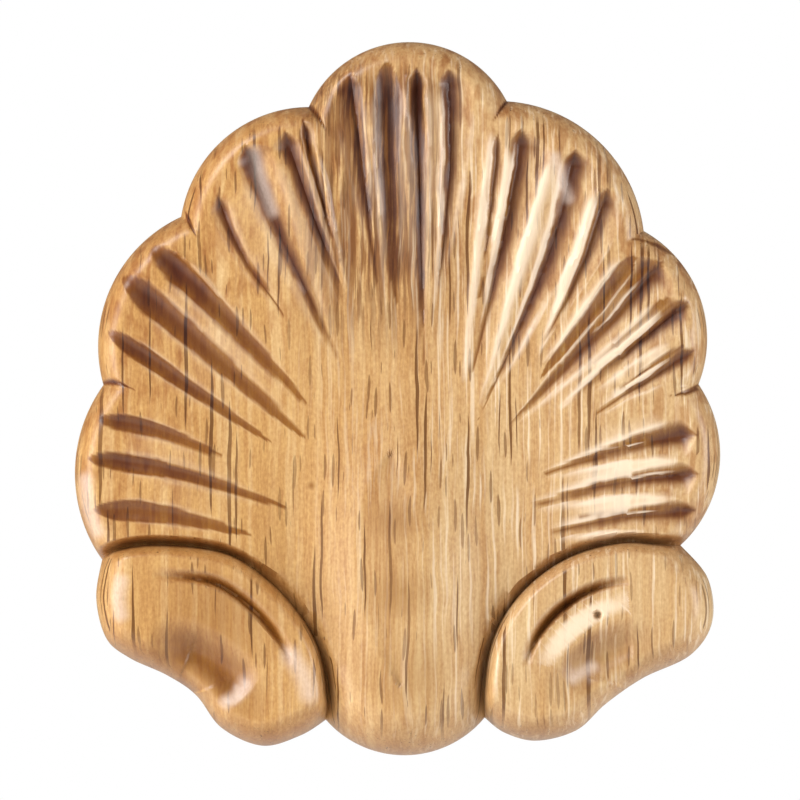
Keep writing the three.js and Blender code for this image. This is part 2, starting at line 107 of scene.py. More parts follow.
# %% Lay out the three left lobes
# notch is where a lobe starts on the rim, and bow is how far its arc stands out.
LOBES = [
    dict(notch=(-41.6, -22.6), bow=3.9, flutes=[
        gouge(0.31, [(-42.1, -15.4), (-31.8, -16.2), (-20.5, -19.0)], 3.8, 0.8, 0, 1),
        gouge(0.60, [(-43.1, -8.2), (-30.9, -10.2), (-15.5, -15.2)], 3.2, 0.9, 0, 1),
        gouge(0.82, [(-41.7, -2.7), (-33.7, -4.4), (-24.5, -7.9)], 3.2, 0.9, 0, 1),
    ]),
    dict(notch=(-41.4, 1.9), bow=4.8, flutes=[
        gouge(0.30, [(-40.2, 9.2), (-30.4, 2.6), (-17.6, -6.1)], 3.1, 0.9, 0, 1),
        gouge(0.58, [(-38.2, 16.9), (-26.7, 6.8), (-13.0, -5.5)], 4.5, 1.1, 0, 1),
        gouge(0.79, [(-34.2, 21.1), (-24.2, 11.3), (-12.7, -0.8)], 4.3, 1.1, 0, 1),
    ]),
    dict(notch=(-30.5, 25.5), bow=4.35, flutes=[
        vee(0.32, [(-25.2, 28.1), (-21.1, 19.1), (-15.1, 10.4)], 3.6, 0.9, -0.3, 0.3),
        vee(0.59, [(-21.4, 35.1), (-17.0, 23.9), (-7.2, 2.6)], 6.5, 1.5, 0.35, 0.15),
        vee(0.83, [(-15.8, 37.1), (-11.6, 24.8), (-5.7, 8.8)], 4.8, 1.2, -0.3, 0.3),
    ]),
]
print(len(LOBES), "lobes on the left")

# %% Lay out the top lobe
LOBES += [
    dict(notch=(-12.6, 40.9), bow=8.7, flutes=[
        vee(0.25, [(-6.7, 45.2), (-5.1, 33.4), (-2.9, 15.2)], 5.3, 1.1, -0.45, 0.3),
        gouge(0.42, [(-1.6, 46.6), (-1.3, 30.6), (-0.2, 13.1)], 4.2, 1.1, 0, 0.8),
        vee(0.54, [(2.5, 45.8), (3.0, 27.8), (3.6, -0.2)], 3.6, 1.1, 0, 0.3),
        vee(0.67, [(6.9, 45.8), (7.1, 32.0), (5.3, 12.4)], 5.6, 1.1, 0.45, 0.15),
    ]),
]
print("the top lobe has", len(LOBES[-1]["flutes"]), "flutes")

# %% Lay out the three right lobes
LOBES += [
    dict(notch=(15.2, 41.7), bow=4.8, flutes=[
        vee(0.08, [(17.0, 37.4), (14.8, 23.4), (10.0, 2.6)], 6.5, 1.2, 0.5, 0.25),
        vee(0.38, [(24.6, 34.6), (20.8, 19.7), (11.1, -3.0)], 7.0, 1.3, 0.5, 0.2),
        vee(0.63, [(29.1, 29.2), (25.0, 17.7), (19.4, 6.5)], 5.9, 1.1, 0.4, 0.2),
    ]),
    dict(notch=(34.4, 23.5), bow=4.3, flutes=[
        vee(0.19, [(36.7, 19.1), (29.1, 10.6), (14.0, -5.3)], 8.4, 1.3, 0.2, 0.15),
        vee(0.47, [(40.3, 13.5), (32.5, 7.1), (21.5, -1.9)], 6.2, 1.2, 0.2, 0.15),
        vee(0.75, [(41.2, 6.8), (33.9, 2.2), (26.6, -2.7)], 5.0, 1.0, 0.2, 0.15),
    ]),
    dict(notch=(42.1, 2), bow=4.2, flutes=[
        vee(0.28, [(41.4, -5.0), (32.2, -6.8), (18.4, -11.1)], 6.5, 1.2, 0.1, 0.1),
        vee(0.51, [(41.7, -10.4), (31.1, -11.7), (15.9, -15.5)], 5.9, 1.2, 0.25, 0.1),
        vee(0.73, [(41.4, -15.5), (31.1, -16.5), (17.3, -20.0)], 5.6, 1.1, 0.3, 0.1),
    ]),
]
print(len(LOBES), "lobes with", sum(len(lobe["flutes"]) for lobe in LOBES), "flutes")

# %% Lay out the side cuts
# These smaller strokes lie between the flutes, so they point to no share of an arc.
SIDE_CUTS = [
    vee(None, [(-13.4, 38.8), (-10.9, 28.5), (-7.8, 18.3)], 2.5, 0.9, 0.3, 0.2),
    vee(None, [(13.8, 36.8), (12.8, 25.7), (10.7, 9.6)], 2.2, 0.5, 0.3, 0.2),
    gouge(None, [(33.0, 19.7), (27.1, 12.1), (19.8, 2.9)], 4.2, 0.7, 0, 0.5),
    gouge(None, [(38.4, 15.5), (33.9, 10.7), (27.1, 4.6)], 2.8, 0.5, 0, 0.5),
    vee(None, [(39.5, 7.4), (34.6, 4.1), (28.3, -0.2)], 1.4, 0.4, 0, 0.6),
    vee(None, [(40.9, -9.3), (34.6, -10.0), (28.0, -11.6)], 1.3, 0.4, 0, 1),
    vee(None, [(40.0, -14.7), (32.5, -15.4), (23.5, -16.8)], 1.3, 0.4, 0, 1),
    vee(None, [(36.7, -6.0), (32.5, -6.4), (28.3, -7.4)], 1.1, 0.3, 0, 1),
]
print(len(SIDE_CUTS), "side cuts")

# %% [markdown]
# The small marks of the tools
#
# Up close the carving isn't clean: thin ridges are left between strokes, each notch runs on as a crease, and the
# wood is bruised in places. A few facets and rims carry painted highlights, glints of the lacquer. A normal map
# could fake them, but their edges would stay flat from the side. They are a few short lines and spots in the same
# layout as the flutes.

# %% Lay out the ridges
# A ridge is the sharp rest of wood between two strokes. high is in mm.
RIDGES = [
    dict(line=[(13.0, 37.4), (11.6, 26.2), (9.0, 1.9)], wide=2.5, high=0.45),
    dict(line=[(16.8, 38.5), (15.4, 30.4), (12.8, 18.3)], wide=2.2, high=0.45),
    dict(line=[(22.1, 36.3), (18.9, 25.3), (11.1, -1.3)], wide=2.9, high=0.5),
    dict(line=[(28.0, 29.0), (25.2, 20.8), (19.4, 5.4)], wide=2.5, high=0.4),
    dict(line=[(31.3, 20.1), (26.6, 13.5), (19.8, 4.6)], wide=3.1, high=0.4),
    dict(line=[(36.1, 19.3), (31.3, 13.8), (26.2, 7.9)], wide=2.2, high=0.4),
    dict(line=[(41.4, 15.5), (33.9, 9.3), (22.1, -1.6)], wide=1.9, high=0.4),
    dict(line=[(37.9, 5.4), (34.2, 3.0), (29.9, 0.2)], wide=1.7, high=0.3),
    dict(line=[(35.3, -6.1), (32.5, -6.5), (28.0, -7.5)], wide=1.4, high=0.3),
    dict(line=[(40.0, -10.0), (34.6, -10.7), (28.3, -12.0)], wide=1.7, high=0.3),
    dict(line=[(38.6, -15.6), (33.2, -15.9), (28.0, -16.8)], wide=1.4, high=0.3),
    dict(line=[(6.2, 43.5), (6.0, 28.5), (5.0, 12.4)], wide=1.3, high=0.4),
    dict(line=[(1.3, 45.0), (1.2, 41.9), (1.1, 37.0)], wide=1.7, high=0.4),
    dict(line=[(4.0, 44.4), (4.0, 40.5), (4.3, 34.9)], wide=1.4, high=0.35),
    dict(line=[(-11.6, 35.4), (-10.0, 29.2), (-7.2, 15.2)], wide=1.1, high=0.4),
    dict(line=[(-3.7, 37.7), (-3.0, 30.6), (-1.9, 13.8)], wide=1.0, high=0.3),
    dict(line=[(-31.8, 20.8), (-28.1, 18.3), (-24.5, 13.8)], wide=1.3, high=0.35),
]
print(len(RIDGES), "ridges")

# %% Lay out the creases
# Each notch runs on as a short crease between its two lobes.
CREASES = [
    vee(None, [(-12.8, 41.4), (-11.3, 39.3), (-9.7, 36.8)], 1.8, 1.0, 0, 1),
    vee(None, [(15.6, 42.1), (14.4, 40.5), (13.1, 38.4)], 1.5, 0.8, 0, 1),
    vee(None, [(-29.9, 26.3), (-29.0, 24.5), (-27.8, 21.9)], 1.5, 0.8, 0, 1),
    vee(None, [(38.6, 20.1), (34.6, 21.8), (29.9, 22.5)], 1.3, 0.5, 0, 1),
    vee(None, [(-41.9, 2.0), (-39.3, 2.2), (-36.4, 1.2)], 2.0, 1.0, 0, 1),
    vee(None, [(42.1, 2.0), (40.3, 0.9), (37.5, 0.2)], 2.1, 1.0, 0, 1),
]
print(len(CREASES), "creases")

# %% Mark the bruises, the darker stem and the painted glints
# The first two are bruises that took more stain, and the other three darken the stem and the foot broadly. Each is
# the place, the reach in hundredths and how dark
MARKS = [((-12.1, -12.1), 0.8, 0.9), ((0.5, -26.6), 2.2, 0.7), ((-1, -17), 6, 0.6),
         ((-0.5, -27), 7, 0.6), ((1, -38), 10, 0.4)]
# Painted highlights: glints of the lacquer on a few facets and rims, each a short line and a width in hundredths
PAINTED_GLINTS = [
    dict(line=[(-20.0, 34.2), (-19.0, 30.4), (-17.5, 26.0)], wide=1.5),
    dict(line=[(21.7, 33.5), (22.6, 30.7), (23.6, 27.8)], wide=1.3),
    dict(line=[(-14.9, -35.6), (-13.2, -38.2), (-12.4, -40.9)], wide=2.2),
    dict(line=[(-38.4, -25.3), (-38.7, -27.6), (-38.4, -29.9)], wide=1.7),
    dict(line=[(-23.9, -42.0), (-22.4, -41.2), (-21.2, -39.9)], wide=1.5),
    dict(line=[(-43.5, -11.4), (-43.2, -15.0), (-41.9, -18.4)], wide=1.8),
    dict(line=[(24.3, -38.8), (25.6, -37.9), (26.9, -37.2)], wide=1.4),
]
print(len(MARKS), "bruises and", len(PAINTED_GLINTS), "pale facets")

# %% [markdown]
# The dish, the stem and the scrolls
#
# The fan is sunk as a shallow dish, and the stem stands in it like a thumb with one flat facet down its front.
# A scroll is a plate with a groove beside the channel and a hollow bowl, and its edge is an S.
# Curves with a bevel could make the scrolls, but their walls wouldn't meet the channel in one sheet. So a scroll is
# two lines, the channel and the edge, and all between them is a height.

# %% Lay out the dish, the stem and its facet
HUB = (0.6, -12)
DISH_HALF_WIDTH = 44
DISH_HALF_HEIGHT = 62
DISH_INNER = 0.25
DISH_OUTER = 0.85
STEM_MIDDLE = 0.8
STEM_HALF_WIDTH = 17
STEM_START = 4
STEM_FULL = -24
FACET_LINE = [(-1, -7.5), (-1.4, -24), (0.2, -40)]
FACET_HALF_WIDTH = 4.6
FACET_DEPTH = 0.35 * MM
print("the dish is", round(2 * DISH_HALF_WIDTH * UNIT / MM, 1), "mm wide at its rim")

# %% Lay out the left scroll
# groove and hollow place the two strokes. The bowl's value says how dark stain and painted shade lie in it, the
# plate's value is painted shade on the plate beside the groove, and the crest's value is how far a painted highlight
# is raised on the crest between them.
LEFT_SCROLL = dict(
    channel=[(-39.1, -21.1), (-33.4, -20.4), (-24.5, -21.5), (-18.4, -25.2), (-13.5, -30.5), (-10.9, -35.7),
             (-10, -41.7)],
    edge=[(-42.4, -28), (-41, -33.6), (-37.7, -36.4), (-32.5, -38.8), (-28.4, -41.6), (-24.8, -46.2),
          (-19.1, -48.7), (-13.8, -47.3)],
    groove=3.6 * MM,
    hollow=[(-21.2, -41.2), (-26.2, -36.7), (-35.1, -32.7)],
    hollow_wide=8 * MM, hollow_deep=1.9 * MM, bowl_stain_and_shade=1, plate_painted_shade=0.5,
    painted_crest_highlight=0 * MM,
)
print("the left bowl is", round(LEFT_SCROLL["hollow_deep"] / MM, 1), "mm deep")

# %% Lay out the right scroll
RIGHT_SCROLL = dict(
    channel=[(35.6, -20.3), (30.9, -20.1), (24.5, -21.8), (19.1, -25.2), (15.1, -29.7), (12.8, -34.7),
             (12, -40.3)],
    edge=[(43.4, -25.2), (44, -31.3), (40.9, -36), (34.3, -39.2), (29.1, -42.8), (25, -46.5), (19.4, -48),
          (14.9, -46.9)],
    groove=4.5 * MM,
    hollow=[(23.5, -39.8), (28.3, -36.0), (37.0, -32.7)],
    hollow_wide=7 * MM, hollow_deep=1.2 * MM, bowl_stain_and_shade=0.55, plate_painted_shade=0,
    painted_crest_highlight=1.1 * MM,
)
print("the right bowl is", round(RIGHT_SCROLL["hollow_deep"] / MM, 1), "mm deep")

# %% [markdown]
# Lines to measure from
#
# Every cut follows a line on the board, and its depth falls off with the distance from that line.
# So the lesson needs three tools: a smooth line through a few points, a point some way along a line,
# and the distance from many points to a line at once. numpy does each for the whole surface in one go.

# %% Make the tools for shares
def smooth(value):
    share = np.clip(value, 0, 1)
    return share * share * (3 - 2 * share)


def quarter(value):
    share = 1 - np.clip(value, 0, 1)
    return np.sqrt(1 - share * share)


def mix(a, b, share):
    return a + (b - a) * share


print("a third of the way in, a smooth step is", round(float(smooth(1 / 3)), 2), "and a quarter round",
      round(float(quarter(1 / 3)), 2))

# %% Make the tools for lines
def place(layout):
    return np.array(layout, float) * UNIT


def measured(points):
    """A line of points with the distance run at each of them."""
    steps = np.linalg.norm(np.diff(points, axis=0), axis=1)
    return dict(points=points, run=np.concatenate([[0], np.cumsum(steps)]))


def points_along(line, distances):
    return np.stack([np.interp(distances, line["run"], line["points"][:, i]) for i in (0, 1)], axis=-1)


print("the point 10, 0 of the layout is at", [round(float(v) / MM, 2) for v in place((10, 0))], "mm")

# %% Draw a smooth line
LINE_STEPS = 96
CURVE_STEPS = 40


def spline(points):
    """A smooth line through the points, cut into even steps."""
    points = np.array(points, float)
    padded = np.vstack([points[0], points, points[-1]])
    fine = []
    for a, b, c, d in zip(padded, padded[1:], padded[2:], padded[3:]):
        t = np.linspace(0, 1, CURVE_STEPS, endpoint=False)[:, None]
        rise, fall = (c - a) / 2, (d - b) / 2
        fine.append((2 * b - 2 * c + rise + fall) * t**3 + (3 * c - 3 * b - 2 * rise - fall) * t**2 + rise * t + b)
    line = measured(np.vstack([*fine, points[-1:]]))
    return measured(points_along(line, np.linspace(0, line["run"][-1], LINE_STEPS + 1)))


facet_line = spline([place(point) for point in FACET_LINE])
print("the stem's facet is", round(facet_line["run"][-1] / MM, 1), "mm long")

# %% Find the nearest point of a line
def nearest(line, points):
    """The distance of each point from the line, the distance run where it is nearest, and its side (+1 left)."""
    start = line["points"][:-1]
    step = np.diff(line["points"], axis=0)
    length = np.linalg.norm(step, axis=1)
    best = np.full(len(points), np.inf)
    run = np.zeros(len(points))
    side = np.ones(len(points))
    for i in range(len(start)):
        away = points - start[i]
        share = np.clip(away @ step[i] / length[i] ** 2, 0, 1)
        distance = np.linalg.norm(away - share[:, None] * step[i], axis=1)
        closer = distance < best
        best[closer] = distance[closer]
        run[closer] = line["run"][i] + share[closer] * length[i]
        side[closer] = np.sign(step[i][0] * away[closer, 1] - step[i][1] * away[closer, 0])
    return best, run, side


print("the hub is", round(nearest(facet_line, place([HUB]))[0][0] / MM, 2), "mm from the middle of the facet")

# %% Draw an arc
def arc_circle(start, end, bow):
    chord = end - start
    half = np.linalg.norm(chord) / 2
    radius = (half**2 + bow**2) / (2 * bow)
    outward = np.array([-chord[1], chord[0]]) / (2 * half)
    return (start + end) / 2 + outward * (bow - radius), radius


def arc_points(start, end, bow, shares):
    centre, radius = arc_circle(start, end, bow)
    first = np.arctan2(*(start - centre)[::-1])
    turn = 2 * np.arcsin(np.linalg.norm(end - start) / (2 * radius))
    angle = first - turn * np.asarray(shares)
    return centre + radius * np.stack([np.cos(angle), np.sin(angle)], axis=-1)


print("an arc of chord 10 and bow 2 has the radius", round(arc_circle(*np.array([[0, 0], [10, 0]]), 2)[1], 2))

# %% [markdown]
# Rays from the rim to the foot
#
# The flutes fan out of the stem, so the mesh is woven the same way: its long threads are rays that run
# from the rim down into the stem and on to the foot. One key ray follows each flute and each notch,
# and finer rays fill the gaps. Facets that lie along a cut show it clean, where a square grid would show steps.

# %% Place the notches and the foot
SIDE_NOTCH_RIGHT = (39.6, -20.6)
FOOT_LEFT = (-10.2, -45.1)
FOOT_RIGHT = (12.1, -44.8)
FOOT_BOW = 5.1
notches = np.array([place(lobe["notch"]) for lobe in LOBES] + [place(SIDE_NOTCH_RIGHT)])
foot_left, foot_right = place(FOOT_LEFT), place(FOOT_RIGHT)
lobe_circles = [arc_circle(notches[i], notches[i + 1], lobe["bow"] * UNIT) for i, lobe in enumerate(LOBES)]
foot_circle = arc_circle(foot_right, foot_left, FOOT_BOW * UNIT)
print("the lobes' radii are", [round(radius / MM, 1) for _, radius in lobe_circles], "mm")

# %% List the key rays
keys = []
for number, lobe in enumerate(LOBES):
    keys.append((number, None))
    keys.extend((number + flute["at"], flute) for flute in lobe["flutes"])
keys.append((len(LOBES), None))
LAST_KEY = len(keys) - 1
print(len(keys), "key rays")

# %% Find the points of the rim and the foot
def rim_point(along):
    number = min(len(LOBES) - 1, int(along))
    return arc_points(notches[number], notches[number + 1], LOBES[number]["bow"] * UNIT, along - number)


def foot_point(share):
    return arc_points(foot_right, foot_left, FOOT_BOW * UNIT, 1 - share)


print("the top of the rim is", round(rim_point(3.5)[1] / MM, 1), "mm up")

# %% Draw the lines of the scrolls
def scroll_lines(scroll, side_notch, foot_notch):
    """The scroll with its three lines drawn between the side notch and the notch at the foot."""
    return {
        **scroll,
        "channel": spline([side_notch, *map(place, scroll["channel"]), foot_notch]),
        "edge": spline([side_notch, *map(place, scroll["edge"]), foot_notch]),
        "hollow": spline([place(point) for point in scroll["hollow"]]),
    }


left = scroll_lines(LEFT_SCROLL, notches[0], foot_left)
right = scroll_lines(RIGHT_SCROLL, notches[-1], foot_right)
print("the channels are", [round(scroll["channel"]["run"][-1] / MM, 1) for scroll in (left, right)], "mm long")

# %% Draw a line between two others
def between(first, second, share, rim, foot):
    """A line between two neighbours that is moved at its ends to meet the rim and the foot."""
    leant = mix(first["points"], second["points"], share)
    down = np.linspace(0, 1, LINE_STEPS + 1)[:, None]
    leant = leant + (rim - leant[0]) * (1 - down)**2 + (foot - leant[-1]) * down**2
    line = measured(leant)
    return measured(points_along(line, np.linspace(0, line["run"][-1], LINE_STEPS + 1)))


halfway = between(left["channel"], right["channel"], 0.5, rim_point(3.5), foot_point(0.5))
print("a ray down the middle would be", round(halfway["run"][-1] / MM, 1), "mm long")

# %% Turn the flutes into the stem
# The rays cross an arch on their way into the stem, and the outermost ones cross a wider one before it.
ARCH = dict(half_width=11.1, middle=1.5, base=-26.8, rise=18.6)
WIDE_ARCH = dict(half_width=18.4, middle=2, base=-21.6, rise=25.8)
NEAR_CHANNEL = 0.2


def arch_point(arch, share):
    turn = np.pi * share
    return place((arch["middle"] - arch["half_width"] * np.cos(turn), arch["base"] + arch["rise"] * np.sin(turn)))


def lies_outside(arch, layout):
    across = (layout[0] - arch["middle"]) / arch["half_width"]
    up = max(0, layout[1] - arch["base"]) / arch["rise"]
    return np.hypot(across, up) > 1


def flute_ray(along, flute, share):
    """The ray along a flute turns into the stem and runs down to the foot."""
    beside_stem = min(share, 1 - share) < NEAR_CHANNEL
    arches = [WIDE_ARCH, ARCH] if beside_stem and lies_outside(WIDE_ARCH, flute["line"][-1]) else [ARCH]
    turns = [arch_point(arch, share) for arch in arches]
    return spline([rim_point(along), *map(place, flute["line"]), *turns, foot_point(share)])


print("the arch is", round(2 * ARCH["half_width"] * UNIT / MM, 1), "mm wide")

# %% Draw the key rays and any ray between them
key_lines = [flute and flute_ray(along, flute, number / LAST_KEY) for number, (along, flute) in enumerate(keys)]
key_lines[0], key_lines[-1] = left["channel"], right["channel"]
for number in range(1, LAST_KEY):
    if key_lines[number] is None:
        key_lines[number] = between(key_lines[number - 1], key_lines[number + 1], 0.5,
                                    rim_point(keys[number][0]), foot_point(number / LAST_KEY))


def ray_line(ray):
    """A ray runs from the rim into the stem and on to the foot, between the key rays on its two sides."""
    first = min(int(ray), LAST_KEY - 1)
    along = np.interp(ray, range(len(keys)), [key[0] for key in keys])
    return between(key_lines[first], key_lines[first + 1], ray - first, rim_point(along),
                   foot_point(ray / LAST_KEY))


print("the key rays are", round(min(line["run"][-1] for line in key_lines) / MM, 1), "to",
      round(max(line["run"][-1] for line in key_lines) / MM, 1), "mm long")

# %% Draw the line of each cut and ridge
flutes = [flute for _, flute in keys if flute]
cuts = [(cut, spline(list(map(place, cut["line"])))) for cut in flutes + SIDE_CUTS + CREASES]
ridge_lines = [(ridge, spline(list(map(place, ridge["line"])))) for ridge in RIDGES]
print(len(cuts), "cuts and", len(ridge_lines), "ridges")

# %% [markdown]
# The height of the surface
#
# The carver sinks the dish of the fan, leaves the stem standing, rounds each lobe over to the rim and then cuts
# the flutes with a gouge, from the rim towards the stem. Each flute starts with the round end of the gouge's path,
# is deepest just after it and runs out to nothing. The functions below do the same, cut by cut.

# %% Let the hand waver
WAVER = 0.13 * MM
WAVER_LENGTH = 2.6 * MM
SHAKE_SHARE = 0.4
SHAKE_LENGTH = WAVER_LENGTH / 3
# Without a seed the noise would start from the clock, and each run would waver in another way.
noise.seed_set(7)


def wavering(points):
    """The points moved a little aside, so that the strokes' edges aren't ruled."""
    moved = [noise.noise_vector((x / WAVER_LENGTH, z / WAVER_LENGTH, 0.5)) for x, z in points]
    finer = [noise.noise_vector((x / SHAKE_LENGTH, z / SHAKE_LENGTH, 3.5)) for x, z in points]
    return points + WAVER * (np.array([v[:2] for v in moved]) + SHAKE_SHARE * np.array([v[:2] for v in finer]))


print("the strokes waver by about", round(WAVER / MM, 2), "mm")

# %% Shape a stroke along its run
GOUGE_LEAD = 5 * MM
VEE_LEAD = 2.2 * MM
FLUTE_TAPER = 1.1


def flute_profile(gone, share, lead):
    """The depth of a flute along its run: a quick scoop at the rim, then a long rise to nothing."""
    return np.sin(np.pi / 2 * np.clip(gone / lead, 0, 1)) * (1 - np.clip(share, 0, 1))**FLUTE_TAPER


print("a third of the way, a gouge is still", round(float(flute_profile(1, 1 / 3, 1)), 2), "of its depth down")

# %% Cut the flutes
# The stain and painted shade end on the wider wall over SHADE_EDGE, and they cover a round floor sooner than a sharp
# one.
SHADE_EDGE = 0.35
ROUND_STAIN_AND_SHADE = 3
SHARP_STAIN_AND_SHADE = 2


def close_to(line, reach, points):
    """Which points lie in the line's own box, widened by its reach."""
    low, high = line["points"].min(0) - reach, line["points"].max(0) + reach
    return np.flatnonzero(np.all((points > low) & (points < high), axis=1))


def flute_cut(points):
    """How deep the flutes are at each point, and how dark the stain and painted shade lie in them."""
    depth = np.zeros(len(points))
    stain_and_shade = np.zeros(len(points))
    for cut, line in cuts:
        round_floor = cut["round_floor"]
        close = close_to(line, cut["wide"] * UNIT, points)
        distance, gone, side = nearest(line, points[close])
        profile = flute_profile(gone, gone / line["run"][-1], GOUGE_LEAD if round_floor else VEE_LEAD)
        wider = np.sign(cut["lean"]) * side if cut["lean"] else side
        offset = distance / (cut["wide"] * UNIT / 2 * (1 + cut["lean"] * side))
        across = offset / np.maximum(np.sqrt(profile) if round_floor else profile, 0.0001)
        section = 1 - (across**2 if round_floor else across)
        depth_here = cut["deep"] * MM * profile * section
        dark = smooth((ROUND_STAIN_AND_SHADE if round_floor else SHARP_STAIN_AND_SHADE) * section)
        # Painted shade: on a leaning stroke the darkness covers the steep wall and only the foot of the wider one.
        if cut["shade"] < 1:
            dark = np.where(wider > 0, dark * (1 - smooth((across - cut["shade"]) / SHADE_EDGE)), dark)
        deeper = depth_here > depth[close]
        depth[close[deeper]] = depth_here[deeper]
        stain_and_shade[close[deeper]] = dark[deeper]
    return depth, stain_and_shade


print("the deepest flute is", max(cut["deep"] for cut, _ in cuts), "mm deep")

# %% Leave the ridges
# A ridge rises soon after its start, stays high for most of its length and has a sharp crest.
RIDGE_EARLY = 0.7
RIDGE_FULL = 0.6
RIDGE_SHARP = 1.3


def ridge_height(points):
    """How far the ridges between the strokes stand up at each point."""
    height = np.zeros(len(points))
    for ridge, line in ridge_lines:
        close = close_to(line, ridge["wide"] * UNIT, points)
        distance, gone, _ = nearest(line, points[close])
        share = gone / line["run"][-1]
        along = np.sin(np.pi * np.clip(share, 0, 1)**RIDGE_EARLY)**RIDGE_FULL
        across = np.clip(1 - distance / (ridge["wide"] * UNIT / 2), 0, 1)**RIDGE_SHARP
        height[close] = np.maximum(height[close], ridge["high"] * MM * along * across)
    return height


print("the highest ridge is", max(ridge["high"] for ridge in RIDGES), "mm high")

# %% Shape the ground and the stem
FACET_SHAPE = 0.8


def facet_section(points):
    """The kite-shaped facet on the stem: 1 along its middle and 0 at its edges."""
    distance, gone, _ = nearest(facet_line, points)
    share = np.clip(gone / facet_line["run"][-1], 0, 1)
    half_width = FACET_HALF_WIDTH * UNIT * np.sin(np.pi * share**FACET_SHAPE)**FACET_SHAPE
    return np.clip(1 - (distance / np.maximum(half_width, 0.01 * MM))**2, 0, 1)


def ground_height(points):
    """The dish of the fan with the stem standing in it, before a flute is cut."""
    across, up = ((points - place(HUB)) / place((DISH_HALF_WIDTH, DISH_HALF_HEIGHT))).T
    out = (np.hypot(across, up) - DISH_INNER) / (DISH_OUTER - DISH_INNER)
    aside = np.clip(np.abs(points[:, 0] / UNIT - STEM_MIDDLE) / STEM_HALF_WIDTH, 0, 1)
    rise = smooth((STEM_START - points[:, 1] / UNIT) / (STEM_START - STEM_FULL))
    return mix(mix(DISH_FLOOR, LOBE_CREST, smooth(out)), STEM_CREST, rise * np.cos(aside * np.pi / 2)**2)


print("the ground at the hub is", round(ground_height(place([HUB]))[0] / MM, 2), "mm high")

# %% Round the fan over to its outline
def fan_rounding(points, from_rim, from_foot):
    """0 at the outline and 1 well inside it."""
    in_lobe = [radius - np.linalg.norm(points - centre, axis=1) for centre, radius in lobe_circles]
    from_edge = np.maximum.reduce([np.zeros(len(points)), from_rim - PILLOW_REACH, *in_lobe])
    centre, radius = foot_circle
    from_sole = np.maximum.reduce([np.zeros(len(points)), from_foot - PILLOW_REACH,
                                   radius - np.linalg.norm(points - centre, axis=1)])
    return quarter(from_edge / LOBE_ROUND) * quarter(from_sole / FOOT_ROUND)


print("the foot is rounded over", round(FOOT_ROUND / MM, 1), "mm")

# %% Say where the stain and painted shade gather in the fan
# Stain with painted shade lies thinly along the channels, and stain lies on the stem's facet. The lengths are metres
# and the others are shares.
CHANNEL_STAIN_AND_SHADE = 0.5 * MM
BANK_STAIN_AND_SHADE = 4 * CHANNEL_STAIN_AND_SHADE
# CHANNEL_DARK darkens the channels' floors and BANK_DARK the banks beside them, with stain and painted shade.
CHANNEL_DARK = 0.15
BANK_DARK = 0.1
FACET_DARK = 0.28


def fan_stain_and_shade(points, stain_and_shade, facet, to_channel):
    """How dark the stain and painted shade lie at each point of the fan, from 0 to 1."""
    recess = np.maximum.reduce([
        stain_and_shade, CHANNEL_DARK - smooth(to_channel / CHANNEL_STAIN_AND_SHADE), FACET_DARK * smooth(facet),
        BANK_DARK * (1 - smooth(to_channel / BANK_STAIN_AND_SHADE))])
    for spot, reach, dark in MARKS:
        away = np.linalg.norm(points - place(spot), axis=1) / (reach * UNIT)
        recess = np.maximum(recess, dark * (1 - smooth(away)))
    return recess


print("the stain beside the channels is", round(BANK_STAIN_AND_SHADE / MM, 1), "mm wide")

# %% Put the fan together
def fan_height(points, from_rim, from_foot):
    """The fan's height, how dark the stain and painted shade lie on it, and what the strokes alone add to the
    height.
    """
    facet = facet_section(points)
    drawn = wavering(points)
    depth, stain_and_shade = flute_cut(drawn)
    strokes = ridge_height(drawn) - depth
    top = ground_height(points) - FACET_DEPTH * facet + strokes
    to_channel = np.minimum(nearest(left["channel"], points)[0], nearest(right["channel"], points)[0])
    banked = mix(CHANNEL_FLOOR, top, smooth(to_channel / CHANNEL_BANK))
    rounding = fan_rounding(points, from_rim, from_foot)
    return EDGE_WALL + (banked - EDGE_WALL) * rounding, fan_stain_and_shade(points, stain_and_shade, facet, to_channel), strokes


cut_hub = fan_height(place([HUB]), np.ones(1), np.ones(1))[0][0]
print("the hub is", round(cut_hub / MM, 2), "mm high once it is cut")

# %% [markdown]
# The height of a scroll
#
# The carver follows the channel with a V tool, runs a groove beside it and hollows the bowl with a wide gouge.
# A bevelled curve could stand for the groove, but it would lie on the plate and not in it. As in the fan, each
# stroke lowers the surface, and a steeper wall on the bowl's side gives the groove its crisp edge.

# %% Run the groove
GROOVE_WIDTH = 1.9 * MM
GROOVE_DEPTH = 1.1 * MM
GROOVE_STEEP = 0.55
GROOVE_FLAT = 1.3
GROOVE_SKEW = 1.1
GROOVE_BLUNT = 0.7


def groove_section(beyond, run):
    """1 on the groove's deepest line. It is steep towards the bowl and flatter towards the channel."""
    offset = np.where(beyond > 0, beyond / GROOVE_STEEP, -beyond / GROOVE_FLAT)
    return np.sin(np.pi * np.clip(run, 0, 1)**GROOVE_SKEW)**GROOVE_BLUNT * (1 - smooth(offset))


print("the grooves are", round(GROOVE_DEPTH / MM, 2), "mm deep")

# %% Hollow the bowl
# A bowl starts a little before its line, and it ends within the last part of it.
HOLLOW_LEAD = 3.4 * MM
HOLLOW_EARLY = 0.3
HOLLOW_END = 2.2


def hollow_section(scroll, points):
    """1 along the middle line of the bowl and 0 at its edges."""
    from_middle, sunk, _ = nearest(scroll["hollow"], points)
    along = smooth((sunk + HOLLOW_EARLY * HOLLOW_LEAD) / HOLLOW_LEAD)
    along *= smooth(HOLLOW_END * (1 - sunk / scroll["hollow"]["run"][-1]))
    return along * (1 - smooth(from_middle / (scroll["hollow_wide"] / 2)))


print("the bowls start over", round(HOLLOW_LEAD / MM, 2), "mm")

